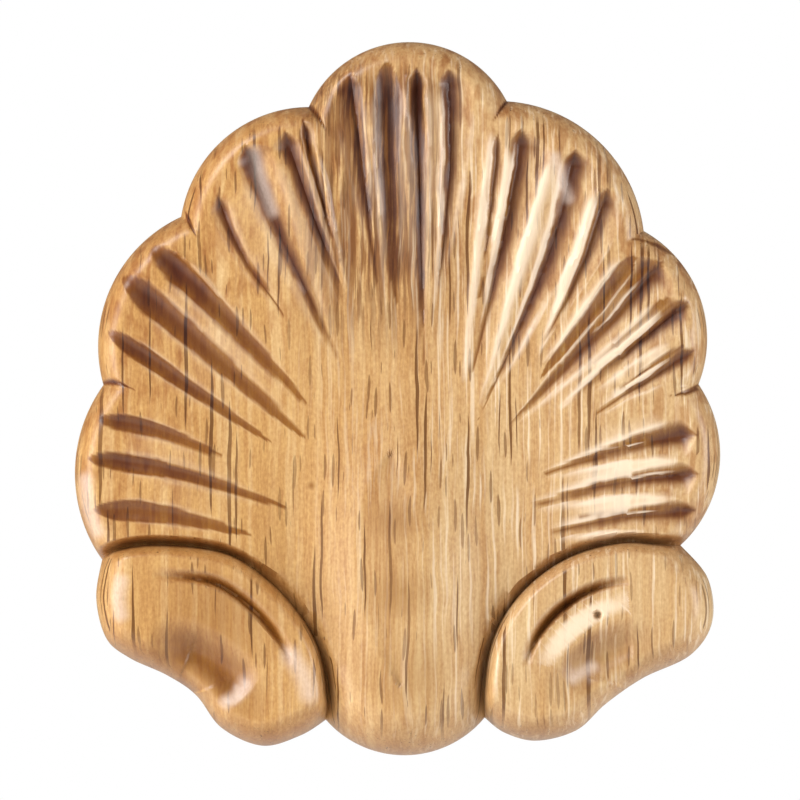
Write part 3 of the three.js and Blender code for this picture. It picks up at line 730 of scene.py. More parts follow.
# %% Put a scroll together
# NICK is the short cut in the right scroll. The groove's and the bowl's values say how stain and painted shade fill
# them, and the nick's value how stain fills it. STROKE_SHARE is how much of the strokes counts as relief, and
# CREST_AT is where the painted highlight on the crest lies beyond the groove, in halves of its width.
NICK = (27.6, -30.0)
NICK_REACH = 0.85
NICK_DEPTH = 1.6 * MM
BOWL_DROP = 0.5 * MM
GROOVE_FROM = 0.17
GROOVE_TO = 0.8
GROOVE_STAIN_AND_SHADE = 1.4
HOLLOW_STAIN_AND_SHADE = 0.6
NICK_STAIN = 1.6
STROKE_SHARE = 0.1
CREST_AT = 2.6


def scroll_height(scroll, points):
    """A scroll's height, how dark the stain and painted shade lie on it, and how far it stands out beside its
    neighbours, raised on the crest for a painted highlight.
    """
    to_channel, gone, _ = nearest(scroll["channel"], points)
    run = (gone / scroll["channel"]["run"][-1] - GROOVE_FROM) / (GROOVE_TO - GROOVE_FROM)
    beyond = (to_channel - scroll["groove"]) / (GROOVE_WIDTH / 2)
    groove = groove_section(beyond, run)
    hollow = hollow_section(scroll, points)
    beside_groove = np.sin(np.pi * np.clip(run, 0, 1)) * smooth(to_channel / scroll["groove"])
    strokes = -GROOVE_DEPTH * groove - scroll["hollow_deep"] * hollow
    top = SCROLL_CREST + strokes - BOWL_DROP * beside_groove * smooth(beyond + 1)
    nick = 1 - smooth(np.linalg.norm(points - place(NICK), axis=1) / (NICK_REACH * UNIT))
    walled = mix(CHANNEL_FLOOR, top, quarter(to_channel / SCROLL_WALL)) - NICK_DEPTH * nick
    rounding = quarter(nearest(scroll["edge"], points)[0] / SCROLL_ROUND)
    # Stain with painted shade in the groove and the bowl, painted shade on the plate beside the groove, and stain in
    # the nick.
    recess = np.maximum.reduce([
        smooth(GROOVE_STAIN_AND_SHADE * groove), scroll["bowl_stain_and_shade"] * hollow**HOLLOW_STAIN_AND_SHADE, NICK_STAIN * nick,
        CHANNEL_DARK - smooth(to_channel / CHANNEL_STAIN_AND_SHADE), scroll["plate_painted_shade"] * beside_groove])
    # Painted highlight: a made-up height on the crest beyond the groove. Only the finish sees it, and it paints the
    # crest lighter there.
    crest = scroll["painted_crest_highlight"] * beside_groove * (1 - smooth(np.abs(beyond - CREST_AT) / CREST_AT))
    return EDGE_WALL + (walled - EDGE_WALL) * rounding, recess, STROKE_SHARE * strokes + crest


print("the bottom of the nick is", round(scroll_height(right, place([NICK]))[0][0] / MM, 2), "mm high")

# %% [markdown]
# Weaving the mesh
#
# Rows cross the rays from the rim to the foot, close together where the surface turns fast.
# Where the rays crowd into the stem, every second one stops, again and again, so that the facets keep their size.
# The scrolls are woven from the channels' own vertices to their outer edges, so the whole front is one sheet.
# Sides and back close it to a solid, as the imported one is. A remesh or a subdivision would be shorter to write,
# but it rounds the arrises that the tools leave.

# %% Set the size of the facets
FACET = 0.27 * MM
ROUND_ROWS = 14
GROUND_ROWS = 12


def graded(reach, count):
    """Distances from an edge that are even along its quarter round."""
    return reach * (1 - np.cos(np.linspace(0, np.pi / 2, count + 1)))


rim_rows = graded(LOBE_ROUND, ROUND_ROWS)
rim_rows = np.concatenate([rim_rows, LOBE_ROUND + FACET * np.arange(1, GROUND_ROWS + 1)])
foot_rows = graded(FOOT_ROUND, 2 * ROUND_ROWS)[::-1]
print("the facets are", round(FACET / MM, 2), "mm wide")

# %% Share out the rays
key_gaps = [np.linalg.norm(rim_point(a[0]) - rim_point(b[0])) for a, b in zip(keys, keys[1:])]
rays = []
for number, gap in enumerate(key_gaps):
    steps = 2 ** max(1, round(np.log2(gap / FACET)))
    rays.extend((number + step / steps, step) for step in range(steps))
rays.append((LAST_KEY, 0))
lines = [ray_line(ray) for ray, _ in rays]
lengths = np.array([line["run"][-1] for line in lines])
print(len(rays), "rays")

# %% Share out the rows
ROW_STRETCH = 1.15
body_rows = int(np.median(lengths - rim_rows[-1] - foot_rows[0]) / (ROW_STRETCH * FACET))
shares = np.arange(1, body_rows) / body_rows
ROWS = len(rim_rows) + len(shares) + len(foot_rows)


def row_distances(length):
    first, last = rim_rows[-1], length - foot_rows[0]
    return np.concatenate([rim_rows, mix(first, last, shares), length - foot_rows])


grid = np.array([points_along(line, row_distances(length)) for line, length in zip(lines, lengths)])
from_rim = np.array([row_distances(length) for length in lengths])
print(len(rays), "rays and", ROWS, "rows")

# %% Stop rays where they crowd
CROWDED = 0.75 * FACET
COARSEST = 64


def kept_rays(row, coarser):
    """The rays that run through this row, with every second one stopped until they lie a facet apart."""
    across = np.linalg.norm(np.diff(grid[:, row], axis=0), axis=1).sum()
    while True:
        kept = [i for i, (_, step) in enumerate(rays) if step % coarser == 0]
        if across / len(kept) > CROWDED or coarser >= COARSEST:
            return kept, coarser
        coarser *= 2


kept_rows = []
coarser = 1
for row in range(ROWS):
    kept, coarser = kept_rays(row, coarser)
    kept_rows.append(kept)
print("at the foot", len(kept_rows[-1]), "rays are left")

# %% Keep lists of what is woven
# A vertex has a place, how dark the stain and painted shade lie, the height of its strokes and how much of a raised
# place may be wiped bare and painted lighter as a highlight.
vertices = []
recesses = []
carved = []
inward = []
triangles = []


def add_vertices(points, heights, recess, strokes, bared_and_highlit=None):
    first = len(vertices)
    vertices.extend((x, -height, z) for (x, z), height in zip(points, heights))
    recesses.extend(recess)
    carved.extend(strokes)
    inward.extend(np.ones(len(points)) if bared_and_highlit is None else bared_and_highlit)
    return list(range(first, len(vertices)))


print("the lists are empty:", len(vertices), "vertices")

# %% Join two rows by triangles
def join_rows(upper, lower):
    """Joins two rows, each a list of (place, vertex), by triangles that face out."""
    i = j = 0
    while i < len(upper) - 1 or j < len(lower) - 1:
        step_upper = j == len(lower) - 1 or (i < len(upper) - 1 and upper[i + 1][0] <= lower[j + 1][0])
        if step_upper:
            triangles.append((upper[i][1], lower[j][1], upper[i + 1][1]))
            i += 1
        else:
            triangles.append((upper[i][1], lower[j][1], lower[j + 1][1]))
            j += 1


join_rows([(0, 0), (1, 1)], [(0, 2), (1, 3)])
print("two rows of two vertices make", len(triangles), "triangles")
triangles.clear()

# %% Weave the fan
# Near the rim the stain isn't wiped off and no highlight is painted, so the flutes' ends stay dark.
BARE_AND_HIGHLIT_FROM = 4.5 * MM
BARE_AND_HIGHLIT_OVER = 4 * MM
fan_points = np.concatenate([grid[kept, row] for row, kept in enumerate(kept_rows)])
fan_from_rim = np.concatenate([from_rim[kept, row] for row, kept in enumerate(kept_rows)])
fan_length = np.concatenate([lengths[kept] for kept in kept_rows])
heights, recess, strokes = fan_height(fan_points, fan_from_rim, fan_length - fan_from_rim)
bared_and_highlit = smooth((fan_from_rim - BARE_AND_HIGHLIT_FROM) / BARE_AND_HIGHLIT_OVER)
fan_vertices = add_vertices(fan_points, heights, recess, strokes, bared_and_highlit)
fan_rows = []
taken = 0
for row, kept in enumerate(kept_rows):
    fan_rows.append([(rays[i][0], fan_vertices[taken + n]) for n, i in enumerate(kept)])
    taken += len(kept)
for upper, lower in zip(fan_rows, fan_rows[1:]):
    join_rows(upper, lower)
print("the fan has", len(triangles), "facets")

# %% Share out a scroll's columns
WALL_COLUMNS = 8
EDGE_COLUMNS = 16
LESS_THAN_HALF = 0.45


def column_distances(width):
    """Distances from the channel, close together on its wall and on the outer rounding."""
    wall = [d for d in graded(SCROLL_WALL, WALL_COLUMNS)[1:] if d < LESS_THAN_HALF * width]
    edge = [width - d for d in graded(SCROLL_ROUND, EDGE_COLUMNS) if d < LESS_THAN_HALF * width][::-1]
    first, last = (wall[-1] if wall else 0), edge[0]
    count = max(0, round((last - first) / FACET) - 1)
    return wall + list(np.linspace(first, last, count + 2)[1:-1]) + edge


print("a scroll 20 mm wide takes", len(column_distances(20 * MM)), "columns")

# %% Weave the scrolls
def scroll_rows(scroll, channel_vertices):
    """A scroll's rows start on the channel's vertices and run out to its edge."""
    rows = []
    points = np.array([(vertices[v][0], vertices[v][2]) for v in channel_vertices])
    shares_along = nearest(scroll["channel"], points)[1] / scroll["channel"]["run"][-1]
    for number, (vertex, point, share) in enumerate(zip(channel_vertices, points, shares_along)):
        row = [(0, vertex)]
        if 0 < number < len(points) - 1:
            edge = points_along(scroll["edge"], scroll["edge"]["run"][-1] * share)
            width = np.linalg.norm(edge - point)
            distances = np.array(column_distances(width))
            spots = mix(point, edge, (distances / width)[:, None])
            heights, recess, strokes = scroll_height(scroll, spots)
            heights[-1] = EDGE_WALL
            row.extend(zip(distances / width, add_vertices(spots, heights, recess, strokes)))
        rows.append(row)
    return rows


left_rows = scroll_rows(left, [row[0][1] for row in fan_rows])
right_rows = scroll_rows(right, [row[-1][1] for row in fan_rows])
for upper, lower in zip(left_rows, left_rows[1:]):
    join_rows(lower, upper)
for upper, lower in zip(right_rows, right_rows[1:]):
    join_rows(upper, lower)
print("with the scrolls it has", len(triangles), "facets")

# %% Close the sides and the back
outline = [vertex for _, vertex in fan_rows[0]]
outline += [row[-1][1] for row in right_rows[1:-1]]
outline += [vertex for _, vertex in fan_rows[-1]][::-1]
outline += [row[-1][1] for row in left_rows[1:-1]][::-1]
WALL_STEPS = 4
ring_points = [(vertices[v][0], vertices[v][2]) for v in outline]
nothing = [0] * len(outline)
rings = [outline]
for step in range(1, WALL_STEPS + 1):
    height = EDGE_WALL * (1 - step / WALL_STEPS)
    rings.append(add_vertices(ring_points, [height] * len(outline), nothing, nothing))
faces = list(triangles)
for upper, lower in zip(rings, rings[1:]):
    for i in range(len(outline)):
        after = (i + 1) % len(outline)
        faces.append((upper[i], upper[after], lower[after], lower[i]))
faces.append(tuple(rings[-1][::-1]))
print("the outline has", len(outline), "vertices")

# %% Make the piece
SHARP_FROM = 50


def put_in_scene(name, data):
    """Makes an object of the data and puts it in the scene."""
    made = bpy.data.objects.new(name, data)
    bpy.context.scene.collection.objects.link(made)
    return made


mesh = bpy.data.meshes.new("shell_carving")
mesh.from_pydata(vertices, [], faces)
mesh.validate()
mesh.polygons.foreach_set("use_smooth", [True] * len(mesh.polygons))
mesh.set_sharp_from_angle(angle=np.radians(SHARP_FROM))
shell = put_in_scene("shell_carving", mesh)
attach(shell, "root")
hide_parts("carved_shell")
print("the carving has", sum(len(p.vertices) - 2 for p in mesh.polygons), "triangles")

# %% [markdown]
# What the finish needs to know
#
# Stain stays in the cuts, and a rag wipes it off the arrises and the high places. Painted shade is laid in the cuts
# and the low places as well, and painted highlights on the arrises and the high places. Baked ambient occlusion or
# the shader's pointiness could find them, but both see only the shape, and not which stroke made it. Here the mesh
# carries the answer: each vertex holds how dark the stain and painted shade lie there, and how far the strokes stand
# above or below the mean of what lies around, once near by for the arrises and once far out for the high places.

# %% Store how dark the stain and painted shade lie
def store(name, values):
    """Stores a value for each vertex, where the material can read it."""
    attribute = mesh.attributes.new(name, "FLOAT", "POINT")
    attribute.data.foreach_set("value", np.asarray(values, np.float32))


store("recess", recesses)
print(sum(value > 0.5 for value in recesses), "vertices lie in stain")

# %% Take the mean of what lies around
corner_pairs = np.vstack([np.array(triangles)[:, pair] for pair in ([0, 1], [1, 2], [2, 0])])
edges = np.unique(np.sort(corner_pairs, axis=1), axis=0)
ends = np.concatenate([edges, edges[:, ::-1]])
neighbours = np.bincount(ends[:, 0], minlength=len(vertices))
strokes = np.array(carved)


def levelled(heights, times):
    """The heights after each vertex has taken its neighbours' mean a number of times."""
    for _ in range(times):
        total = np.bincount(ends[:, 0], weights=heights[ends[:, 1]], minlength=len(heights))
        heights = np.where(neighbours > 0, (heights + total) / (1 + neighbours), heights)
    return heights


print(len(edges), "edges join the vertices of the front")

# %% Store the arrises and the high places
# The name, how many times the mean is taken, and the height that counts in full
for name, times, step in (("arris", 4, 0.08 * MM), ("high_place", 60, 0.5 * MM)):
    value = np.clip((strokes - levelled(strokes, times)) / step, -1, 1)
    value = np.where(value > 0, value * np.array(inward), value)
    store(name, value)
    print(name, "above half:", int((value > 0.5).sum()), "below:", int((value < -0.5).sum()))

# %% Store where the highlights are painted
spots = np.array([(x, z) for x, _, z in vertices])
# pale marks where the painted highlights go.
pale = np.zeros(len(vertices))
for facet in PAINTED_GLINTS:
    line = spline([place(point) for point in facet["line"]])
    pale = np.maximum(pale, 1 - smooth(nearest(line, spots)[0] / (facet["wide"] * UNIT)))
pale *= np.array([-y > EDGE_WALL for _, y, _ in vertices])
store("pale", pale)
print(int((pale > 0.5).sum()), "vertices lie in pale facets")

# %% [markdown]
# Stained and lacquered oak
#
# The wood is golden oak: carved and lightly sanded, stained golden brown, and sprayed with a satin lacquer.
# That gives the eye a warm brown with fine dark lines, darker in the cuts where stain and painted shade lie, under
# one soft sheen.
# A photo of oak could be wrapped round it, but it would run up the walls of the flutes as if printed there.
# Patterns that are worked out from the place in the board run through the flutes as grain does.
# Each is stretched along Z, the way the grain runs, and its size is that of the real thing.

# %% Make the node function
def linear(code):
    """A colour written as sRGB hex, turned to the linear values that shaders use."""
    channels = [int(code[i:i + 2], 16) / 255 for i in (1, 3, 5)]
    return [c / 12.92 if c <= 0.04045 else ((c + 0.055) / 1.055) ** 2.4 for c in channels] + [1]


def add(tree, kind, inputs=None, output=0, **settings):
    """Adds a node with its settings, sets or links its inputs, and returns one of its outputs."""
    node = tree.nodes.new("ShaderNode" + kind)
    for name, value in settings.items():
        setattr(node, name, value)
    for name, value in (inputs or {}).items():
        if isinstance(value, bpy.types.NodeSocket):
            tree.links.new(value, node.inputs[name])
        else:
            node.inputs[name].default_value = value
    return node.outputs[output] if len(node.outputs) else node


print("a middle grey, #808080, is", round(linear("#808080")[0], 3), "in linear values")

# %% Name the colours of the wood
GOLDEN = linear("#CB9B5D")
# The second colour is painted light: the right half is made paler and less saturated for the brighter light and
# sheen there.
PALE_LIT = linear("#CFAB7A")
LATE_WOOD = linear("#B07A3C")
EARLY_WOOD = linear("#EACB98")
PORE = linear("#6A3E08")
print("the golden half of the board is", [round(c, 3) for c in GOLDEN[:3]], "in linear values")

# %% Follow the grain
WANDER = 0.5 * MM
WANDER_SIZE = (5 * MM, 5 * MM, 9 * MM)
oak = bpy.data.materials.new("stained_lacquered_oak")
oak.use_nodes = True
wood = oak.node_tree
wood.nodes.clear()
in_wood = add(wood, "TexCoord", output="Object")
apart = add(wood, "SeparateXYZ", {"Vector": in_wood}).node.outputs
slow = add(wood, "Mapping", {"Vector": in_wood, "Scale": [1 / size for size in WANDER_SIZE]})
slow = add(wood, "TexNoise", {"Vector": slow, "Scale": 1, "Detail": 2})
aside = add(wood, "MapRange", {"Value": slow, "To Min": -WANDER, "To Max": WANDER})
aside = add(wood, "CombineXYZ", {"X": aside})
along_grain = add(wood, "VectorMath", {0: in_wood, 1: aside}, operation="ADD")
print("the grain wanders by", round(WANDER / MM, 2), "mm")

# %% Make the tools for a pattern and a layer of colour
def figure(across, through, along, detail=2.0):
    """A pattern of the wood whose patches have this size in metres across, through and along the grain."""
    scaled = add(wood, "Mapping", {"Vector": along_grain, "Scale": (1 / across, 1 / through, 1 / along)})
    return add(wood, "TexNoise", {"Vector": scaled, "Scale": 1, "Detail": detail})


def coloured(ground, value, bare, full, most, colour, where=None, blend="MIX"):
    """Lays a colour over the wood as a value runs from bare to full, by most at the most, and only where it may."""
    share = add(wood, "MapRange", {"Value": value, "From Min": bare, "From Max": full, "To Max": most})
    if where is not None:
        share = add(wood, "Math", {0: share, 1: where}, operation="MULTIPLY")
    return add(wood, "Mix", {0: share, 6: ground, 7: colour}, 2, data_type="RGBA", blend_type=blend)


print("the material has", len(wood.nodes), "nodes so far")

# %% Turn from golden to pale towards the right, as painted light
# Painted light: the colour turns paler towards the right, where the dish takes the brighter light and the sheen.
GOLDEN_TO = -16 * MM
PALE_LIT_FROM = 12 * MM
halves = add(wood, "MapRange", {"Value": apart["X"], "From Min": GOLDEN_TO, "From Max": PALE_LIT_FROM})
ground = add(wood, "Mix", {0: halves, 6: GOLDEN, 7: PALE_LIT}, 2, data_type="RGBA")
print("the board turns pale over", round((PALE_LIT_FROM - GOLDEN_TO) / MM), "mm")

# %% Streak it with late and early wood
STREAK = (0.9 * MM, 4 * MM, 40 * MM)
streaks = figure(*STREAK, 4)
ground = coloured(ground, streaks, 0.5, 0.72, 0.5, LATE_WOOD)
ground = coloured(ground, streaks, 0.5, 0.3, 0.4, EARLY_WOOD)
print("the streaks are about", round(STREAK[0] / MM, 1), "mm wide and", round(STREAK[2] / MM), "mm long")

# %% Darken it in patches
BROAD_PATCH = (14 * MM, 20 * MM, 40 * MM)
SMALL_PATCH = (2.5 * MM, 3 * MM, 12 * MM)
ground = coloured(ground, figure(*BROAD_PATCH), 0.4, 0.65, 0.4, LATE_WOOD)
ground = coloured(ground, figure(*SMALL_PATCH, 3), 0.5, 0.7, 0.35, LATE_WOOD)
print("the small patches are about", round(SMALL_PATCH[0] / MM, 1), "mm wide")

# %% Speckle it with fibres
# The fibres of oak are 0.02 mm thick, too fine to show, so they are drawn as the bundles that the eye sees.
SPECK = (0.3 * MM, 0.3 * MM, 0.5 * MM)
FIBRE_BUNDLE = (0.25 * MM, 0.5 * MM, 4 * MM)
SPECKLE = 0.85
mottle = figure(*SPECK, 3)
fibres = figure(*FIBRE_BUNDLE, 3)
speck = add(wood, "Math", {0: mottle, 1: fibres}, operation="ADD")
tint = add(wood, "MapRange", {"Value": speck, "From Min": 0.6, "From Max": 1.4, "To Min": 0.22, "To Max": 0.78})
ground = add(wood, "Mix", {0: SPECKLE, 6: ground, 7: tint}, 2, data_type="RGBA", blend_type="SOFT_LIGHT")
print("the bundles are about", round(FIBRE_BUNDLE[0] / MM, 2), "mm thick")

# %% [markdown]
# The dark middle
#
# The top lobe has a band of dark lines, as if stain had soaked into torn fibres. They could be drawn one by one,
# but their number matters more than their places. So a mask says where they may be, across, up and only in front,
# and two fine streak patterns fill it.

# %% Mask the dark middle
# The band's middle is at X = -MIDDLE_ASIDE. Each pair is where the mask is empty and where it is full.
MIDDLE_ASIDE = 2.5 * MM
MIDDLE_SIDES = (11 * MM, 4 * MM)
MIDDLE_BOTTOM = (4 * MM, 16 * MM)
MIDDLE_TOP = (40 * MM, 36 * MM)
MIDDLE_FRONT = (-4 * MM, -7 * MM)
aside_of_middle = add(wood, "Math", {0: apart["X"], 1: MIDDLE_ASIDE}, operation="ADD")
aside_of_middle = add(wood, "Math", {0: aside_of_middle}, operation="ABSOLUTE")
in_middle = add(wood, "MapRange", {"Value": aside_of_middle, "From Min": MIDDLE_SIDES[0],
                                   "From Max": MIDDLE_SIDES[1], "To Max": 0.95})
for value, (empty, full) in ((apart["Z"], MIDDLE_BOTTOM), (apart["Z"], MIDDLE_TOP), (apart["Y"], MIDDLE_FRONT)):
    share = add(wood, "MapRange", {"Value": value, "From Min": empty, "From Max": full})
    in_middle = add(wood, "Math", {0: in_middle, 1: share}, operation="MULTIPLY")
print("the dark middle is", round(2 * MIDDLE_SIDES[0] / MM), "mm wide")

# %% Fill it with smoky streaks and knife lines
SMOKE = linear("#895826")
KNIFE_LINE = linear("#74481F")
ground = coloured(ground, figure(0.5 * MM, 2 * MM, 9 * MM, 4), 0.4, 0.52, 1, SMOKE, in_middle)
ground = coloured(ground, figure(0.35 * MM, 1 * MM, 7 * MM, 5), 0.5, 0.57, 0.75, KNIFE_LINE, in_middle)
print("the smoky streaks are about 0.5 mm wide and the knife lines 0.35 mm")

# %% Draw pale lines on the right half
PALE_LINE = linear("#F3E0C2")
ground = coloured(ground, figure(0.4 * MM, 2 * MM, 16 * MM, 3), 0.55, 0.68, 0.6, PALE_LINE, halves)
print("the pale lines are about 0.4 mm wide and 16 mm long")

# %% [markdown]
# Open pores
#
# Oak is ring-porous: its spring wood is full of open vessels, 0.2 to 0.45 mm wide. They show as dark lines where
# the surface runs with the grain and as dots where it cuts across. They could be grooves in the mesh, but there
# are hundreds. Each is one cell of a stretched Voronoi pattern. It is drawn on the face of the board, in two
# dimensions, because flutes cut through cells drawn in three and break each line into dashes.
# The square sides take Y in place of X, so that lines run there too.

# %% Lay the pattern on the face of the board
bent = add(wood, "SeparateXYZ", {"Vector": along_grain}).node.outputs
facing = add(wood, "SeparateXYZ", {"Vector": add(wood, "TexCoord", output="Normal")}).node.outputs
sideways = add(wood, "Math", {0: facing["X"]}, operation="ABSOLUTE")
on_side = add(wood, "MapRange", {"Value": sideways, "From Min": 0.8, "From Max": 0.82})
across = add(wood, "Mix", {0: on_side, 2: bent["X"], 3: bent["Y"]}, data_type="FLOAT")
board_face = add(wood, "CombineXYZ", {"X": across, "Y": bent["Z"]})
print("the sides are those that face more than 0.8 sideways")

# %% Make the pattern of the vessels
PORE_EDGE = 0.03


def pores(apart_by, length, least, most, shift):
    """Open vessels: each cell of the pattern holds one of its own size, and a size below 0 leaves it empty."""
    scale = (1 / apart_by, 1 / length, 1)
    spot = add(wood, "Mapping", {"Vector": board_face, "Location": (shift, shift, 0), "Scale": scale})
    cell = add(wood, "TexVoronoi", {"Vector": spot, "Scale": 1}, voronoi_dimensions="2D").node.outputs
    own = add(wood, "SeparateColor", {"Color": cell["Color"]})
    size = add(wood, "MapRange", {"Value": own, "To Min": least, "To Max": most})
    inside = add(wood, "Math", {0: size, 1: cell["Distance"]}, operation="SUBTRACT")
    return add(wood, "MapRange", {"Value": inside, "From Max": PORE_EDGE})


print("a pore's edge is soft over", PORE_EDGE, "of its cell")

# %% Draw long and short pores in clusters
LONG_CELL = (1.0 * MM, 42 * MM)
SHORT_CELL = (0.85 * MM, 9 * MM)
LONG_SIZES = (-0.08, 0.24)
SHORT_SIZES = (-0.1, 0.25)
clusters = figure(9 * MM, 20 * MM, 24 * MM)
most_here = add(wood, "MapRange", {"Value": clusters, "From Min": 0.36, "From Max": 0.52, "To Min": 0.6})
long_pores = pores(*LONG_CELL, *LONG_SIZES, 3.7)
long_pores = add(wood, "Math", {0: long_pores, 1: most_here}, operation="MULTIPLY")
short_pores = pores(*SHORT_CELL, *SHORT_SIZES, 9.1)
short_pores = add(wood, "Math", {0: short_pores, 1: most_here}, operation="MULTIPLY")
short_pores = add(wood, "Math", {0: short_pores, 1: 0.7}, operation="MULTIPLY")
lines_of_pores = add(wood, "Math", {0: long_pores, 1: short_pores}, operation="MAXIMUM")
print("the long pores are up to", round(2 * LONG_CELL[0] * LONG_SIZES[1] / MM, 2), "mm wide")

# %% Dot the end grain and colour the pores
PORE_DARK = 0.92
cut_across = add(wood, "Math", {0: facing["Z"]}, operation="ABSOLUTE")
cut_along = add(wood, "MapRange", {"Value": cut_across, "From Min": 0.85, "From Max": 0.4})
dots = add(wood, "MapRange", {"Value": mottle, "From Min": 0.62, "From Max": 0.7})
pore = add(wood, "Mix", {0: cut_along, 2: dots, 3: lines_of_pores}, data_type="FLOAT")
open_pore = add(wood, "Math", {0: pore, 1: PORE_DARK}, operation="MULTIPLY")
ground = add(wood, "Mix", {0: open_pore, 6: ground, 7: PORE}, 2, data_type="RGBA")
print("the dots are about", round(SPECK[0] / MM, 1), "mm wide")

# %% [markdown]
# Stain and painted shade in the end grain and in the cuts
#
# End grain drinks stain like a bundle of straws, so faces that look up or down are darker, and painted shade darkens
# them further, most of all those that look down. The flutes hold stain that the rag didn't reach, with painted shade
# on their walls, and on the lobes the stain is blotchy. Paint layers could be brushed on by hand.
# Multiplying the wood by the stain's colour is nearer to the real thing: the grain still shows through.

# %% Let the end grain drink more stain, with painted shade on faces that look up or down
END_GRAIN_AND_SHADE = linear("#C2A176")
above = add(wood, "MapRange", {"Value": facing["Z"], "From Min": 0.05, "From Max": 0.7, "To Max": 0.4})
# Faces that look down take more of it than those that look up, and that part is painted shade.
below = add(wood, "MapRange", {"Value": facing["Z"], "From Min": -0.2, "From Max": -0.95, "To Max": 0.75})
end_grain_and_shade = add(wood, "Math", {0: above, 1: below}, operation="MAXIMUM")
ground = add(wood, "Mix", {0: end_grain_and_shade, 6: ground, 7: END_GRAIN_AND_SHADE}, 2, data_type="RGBA", blend_type="MULTIPLY")
print("faces that look up take up to 0.4 of the stain, and those that look down 0.75")

# %% Leave stain and painted shade in the cuts
CUT_STAIN_AND_SHADE = linear("#B4924C")
uneven = add(wood, "MapRange", {"Value": mottle, "From Min": 0.35, "From Max": 0.65,
                                "To Min": 0.88, "To Max": 1.08})
# Stain with painted shade: the walls of the cuts that face away from the light are darkened as well.
recess_value = add(wood, "Attribute", output="Fac", attribute_name="recess")
stained_and_shaded = add(wood, "Math", {0: recess_value, 1: uneven}, operation="MULTIPLY")
ground = add(wood, "Mix", {0: stained_and_shaded, 6: ground, 7: CUT_STAIN_AND_SHADE}, 2, data_type="RGBA", blend_type="MULTIPLY")
print("the material has", len(wood.nodes), "nodes so far")

# %% Blotch the lobes, and darken the low places with stain and painted shade
BLOTCH = linear("#C79C62")
LOW_PLACE_STAIN_AND_SHADE = linear("#A8783A")
LOBES_FROM = (0.5 * MM, 0, -10 * MM)
from_hub = add(wood, "VectorMath", {0: in_wood, 1: LOBES_FROM}, "Value", operation="DISTANCE")
on_lobes = add(wood, "MapRange", {"Value": from_hub, "From Min": 21 * MM, "From Max": 31 * MM})
above_stem = add(wood, "MapRange", {"Value": apart["Z"], "From Min": -20 * MM, "From Max": -14 * MM})
on_lobes = add(wood, "Math", {0: on_lobes, 1: above_stem}, operation="MULTIPLY")
blotches = figure(1.2 * MM, 2 * MM, 4 * MM, 4)
ground = coloured(ground, blotches, 0.48, 0.62, 0.55, BLOTCH, on_lobes, "MULTIPLY")
high_place = add(wood, "Attribute", output="Fac", attribute_name="high_place")
# Stain with painted shade: places below the far mean of their surroundings are darkened.
ground = coloured(ground, high_place, -0.05, -0.9, 0.9, LOW_PLACE_STAIN_AND_SHADE, blend="MULTIPLY")
print("the blotches are about 1.2 mm wide")

# %% [markdown]
# Wiped and highlit arrises, and painted glints
#
# The rag leaves the sharp arrises and the high places nearly bare, and they are painted lighter as highlights too,
# most of all on the right. A few facets and rims carry painted highlights, glints of the lacquer. A mask could be
# painted by hand, but it would have to be painted again after each change of the layout. So the finish reads the
# heights and the glints that the mesh has stored.

# %% Wipe the stain off the arrises and paint highlights on them
BARE_AND_HIGHLIT_ARRIS = linear("#F6E3CC")
BARE_AND_HIGHLIT_WOOD = linear("#F0D8B8")
# Painted highlight: the arrises and high places are painted lighter, in full on the right and 0.15 of it on the
# left.
wiped_and_highlit = add(wood, "MapRange", {"Value": apart["X"], "From Min": 2 * MM, "From Max": 14 * MM, "To Min": 0.15})
arris = add(wood, "Attribute", output="Fac", attribute_name="arris")
ground = coloured(ground, arris, 0.1, 0.8, 0.65, BARE_AND_HIGHLIT_ARRIS, wiped_and_highlit)
ground = coloured(ground, high_place, 0.06, 0.55, 0.75, BARE_AND_HIGHLIT_WOOD, wiped_and_highlit)
print("on the left only 0.15 of it is wiped off")

# %% Paint highlights on a few facets and rims
# Painted highlight: near white where the lacquer mirrors the lights.
PAINTED_GLINT_COLOUR = linear("#E8D2C2")
PAINTED_GLINT_SHARE = 0.5
painted_glint = add(wood, "Attribute", output="Fac", attribute_name="pale")
painted_glint = add(wood, "Math", {0: painted_glint, 1: uneven}, operation="MULTIPLY")
painted_glint = add(wood, "Math", {0: painted_glint, 1: PAINTED_GLINT_SHARE}, operation="MULTIPLY")
ground = add(wood, "Mix", {0: painted_glint, 6: ground, 7: PAINTED_GLINT_COLOUR}, 2, data_type="RGBA")
print("the pale facets take", PAINTED_GLINT_SHARE, "of their colour")

# %% [markdown]
# Satin lacquer
#
# A satin lacquer lies on the wood as one clear film of IOR about 1.5, and matting powder in it spreads the
# highlights. The wood itself could be made glossy instead, but then it would look like plastic. The shader's coat
# is the film. It wets the wood, so the wood below it has almost no gloss of its own: its specular level is 0.1.

# %% Lacquer the wood
LACQUER_IOR = 1.5
LACQUER_ROUGHNESS = 0.38
WET_SPECULAR = 0.1
PORE_HOLLOW = 0.1 * MM
FIBRE_RISE = 0.05 * MM
hollow_pores = add(wood, "Bump", {"Height": pore, "Strength": 0.3, "Distance": PORE_HOLLOW}, invert=True)
grained = add(wood, "Bump", {"Height": speck, "Strength": 0.25, "Distance": FIBRE_RISE, "Normal": hollow_pores})
gloss = add(wood, "MapRange", {"Value": mottle, "From Min": 0.3, "From Max": 0.7, "To Min": 0.5, "To Max": 0.65})
shader = add(wood, "BsdfPrincipled", {
    "Base Color": ground, "Roughness": gloss, "IOR": LACQUER_IOR, "Specular IOR Level": WET_SPECULAR,
    "Coat Weight": 1, "Coat Roughness": LACQUER_ROUGHNESS, "Normal": grained})
add(wood, "OutputMaterial", {"Surface": shader})
mesh.materials.append(oak)
print(oak.name, "has", len(wood.nodes), "nodes")

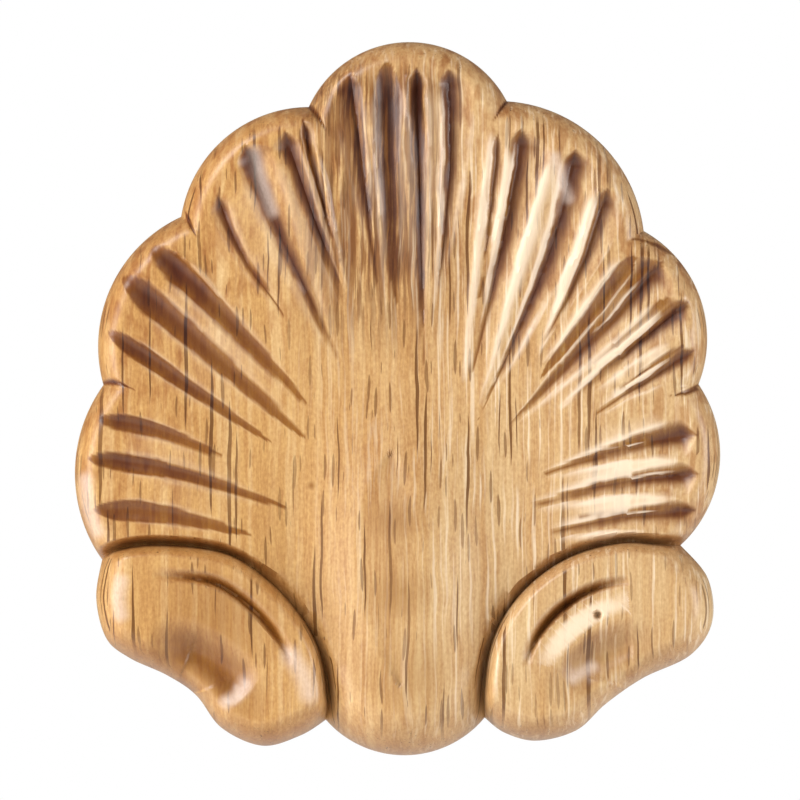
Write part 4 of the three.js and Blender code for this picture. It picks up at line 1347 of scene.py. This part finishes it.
# %% [markdown]
# The studio
#
# The ornament is photographed square on against white, in soft light from both sides with the main light from the
# upper left. A backdrop behind it would hide it from the back, so the white of the studio is the world itself.
# The world is full white to the camera and dimmer as a light, and dimmer still in reflections, so that the
# lacquer keeps its contrast. A pale floor lies well below.

# %% Set the lights
def area_light(name, place_at, size, power):
    """A round soft light that faces the carving."""
    light = bpy.data.lights.new(name, "AREA")
    light.shape = "DISK"
    light.size = size
    light.energy = power
    lamp = put_in_scene(name, light)
    lamp.location = place_at
    lamp.rotation_euler = Vector(place_at).to_track_quat("Z", "Y").to_euler()


area_light("main_light", (-0.5, -0.42, 0.52), 0.45, 5.2)
area_light("left_light", (-0.8, -0.3, 0.0), 0.5, 4.2)
area_light("right_light", (0.8, -0.25, 0.05), 0.5, 4.4)
print(len(bpy.data.lights), "lights in all")

# %% Lay the floor
FLOOR_HALF = 1.2
FLOOR_AT = -0.28
corners = ((-1, -1), (1, -1), (1, 1), (-1, 1))
floor_mesh = bpy.data.meshes.new("floor")
floor_mesh.from_pydata([(x * FLOOR_HALF, y * FLOOR_HALF, FLOOR_AT) for x, y in corners], [], [(0, 1, 2, 3)])
floor = put_in_scene("floor", floor_mesh)
paint = bpy.data.materials.new("floor_paint")
paint.use_nodes = True
paint_shader = paint.node_tree.nodes["Principled BSDF"]
paint_shader.inputs["Base Color"].default_value = linear("#F4F3F1")
paint_shader.inputs["Roughness"].default_value = 0.8
floor_mesh.materials.append(paint)
print("the floor lies", -FLOOR_AT, "m below the carving's middle")

# %% Light the world
WORLD_LIGHT = 0.46
WORLD_MIRRORED = 0.12
WORLD_SEEN = 1.0
world = bpy.data.worlds.new("studio")
world.use_nodes = True
bpy.context.scene.world = world
sky = world.node_tree
sky.nodes.clear()
seen = add(sky, "LightPath", output="Is Camera Ray")
mirrored = add(sky, "LightPath", output="Is Glossy Ray")
light = add(sky, "MapRange", {"Value": mirrored, "To Min": WORLD_LIGHT, "To Max": WORLD_MIRRORED})
strength = add(sky, "Mix", {0: seen, 2: light, 3: WORLD_SEEN}, data_type="FLOAT")
white = add(sky, "Background", {"Color": linear("#FFFFFF"), "Strength": strength})
add(sky, "OutputWorld", {"Surface": white})
bpy.context.scene.view_settings.view_transform = "Standard"
print("the world's light is", WORLD_LIGHT)

# %% [markdown]
# The camera
#
# The photo shows no side of the carving, so the camera stands square in front. A short lens close by would show the
# walls of the rim, so it is a long one. Its distance follows from the carving's height in the photo's pixels.

# %% Set the camera
PHOTO_SIDE = 800
PHOTO_HEIGHT = 713
PHOTO_MIDDLE = (398.5, 398.5)
LENS = 200
SENSOR = 36
pixel = (shell_high.z - shell_low.z) / PHOTO_HEIGHT
view_width = PHOTO_SIDE * pixel
distance = view_width * LENS / SENSOR
camera_data = bpy.data.cameras.new("camera")
camera_data.lens = LENS
camera_data.sensor_width = SENSOR
print("the camera stands", round(distance, 2), "m away")

# %% Place the camera
camera = put_in_scene("camera", camera_data)
camera.location = ((PHOTO_SIDE / 2 - PHOTO_MIDDLE[0]) * pixel, -EDGE_WALL - distance,
                   (PHOTO_MIDDLE[1] - PHOTO_SIDE / 2) * pixel)
camera.rotation_euler = (np.pi / 2, 0, 0)
bpy.context.scene.camera = camera
print("a pixel of the photo is", round(pixel / MM, 4), "mm")
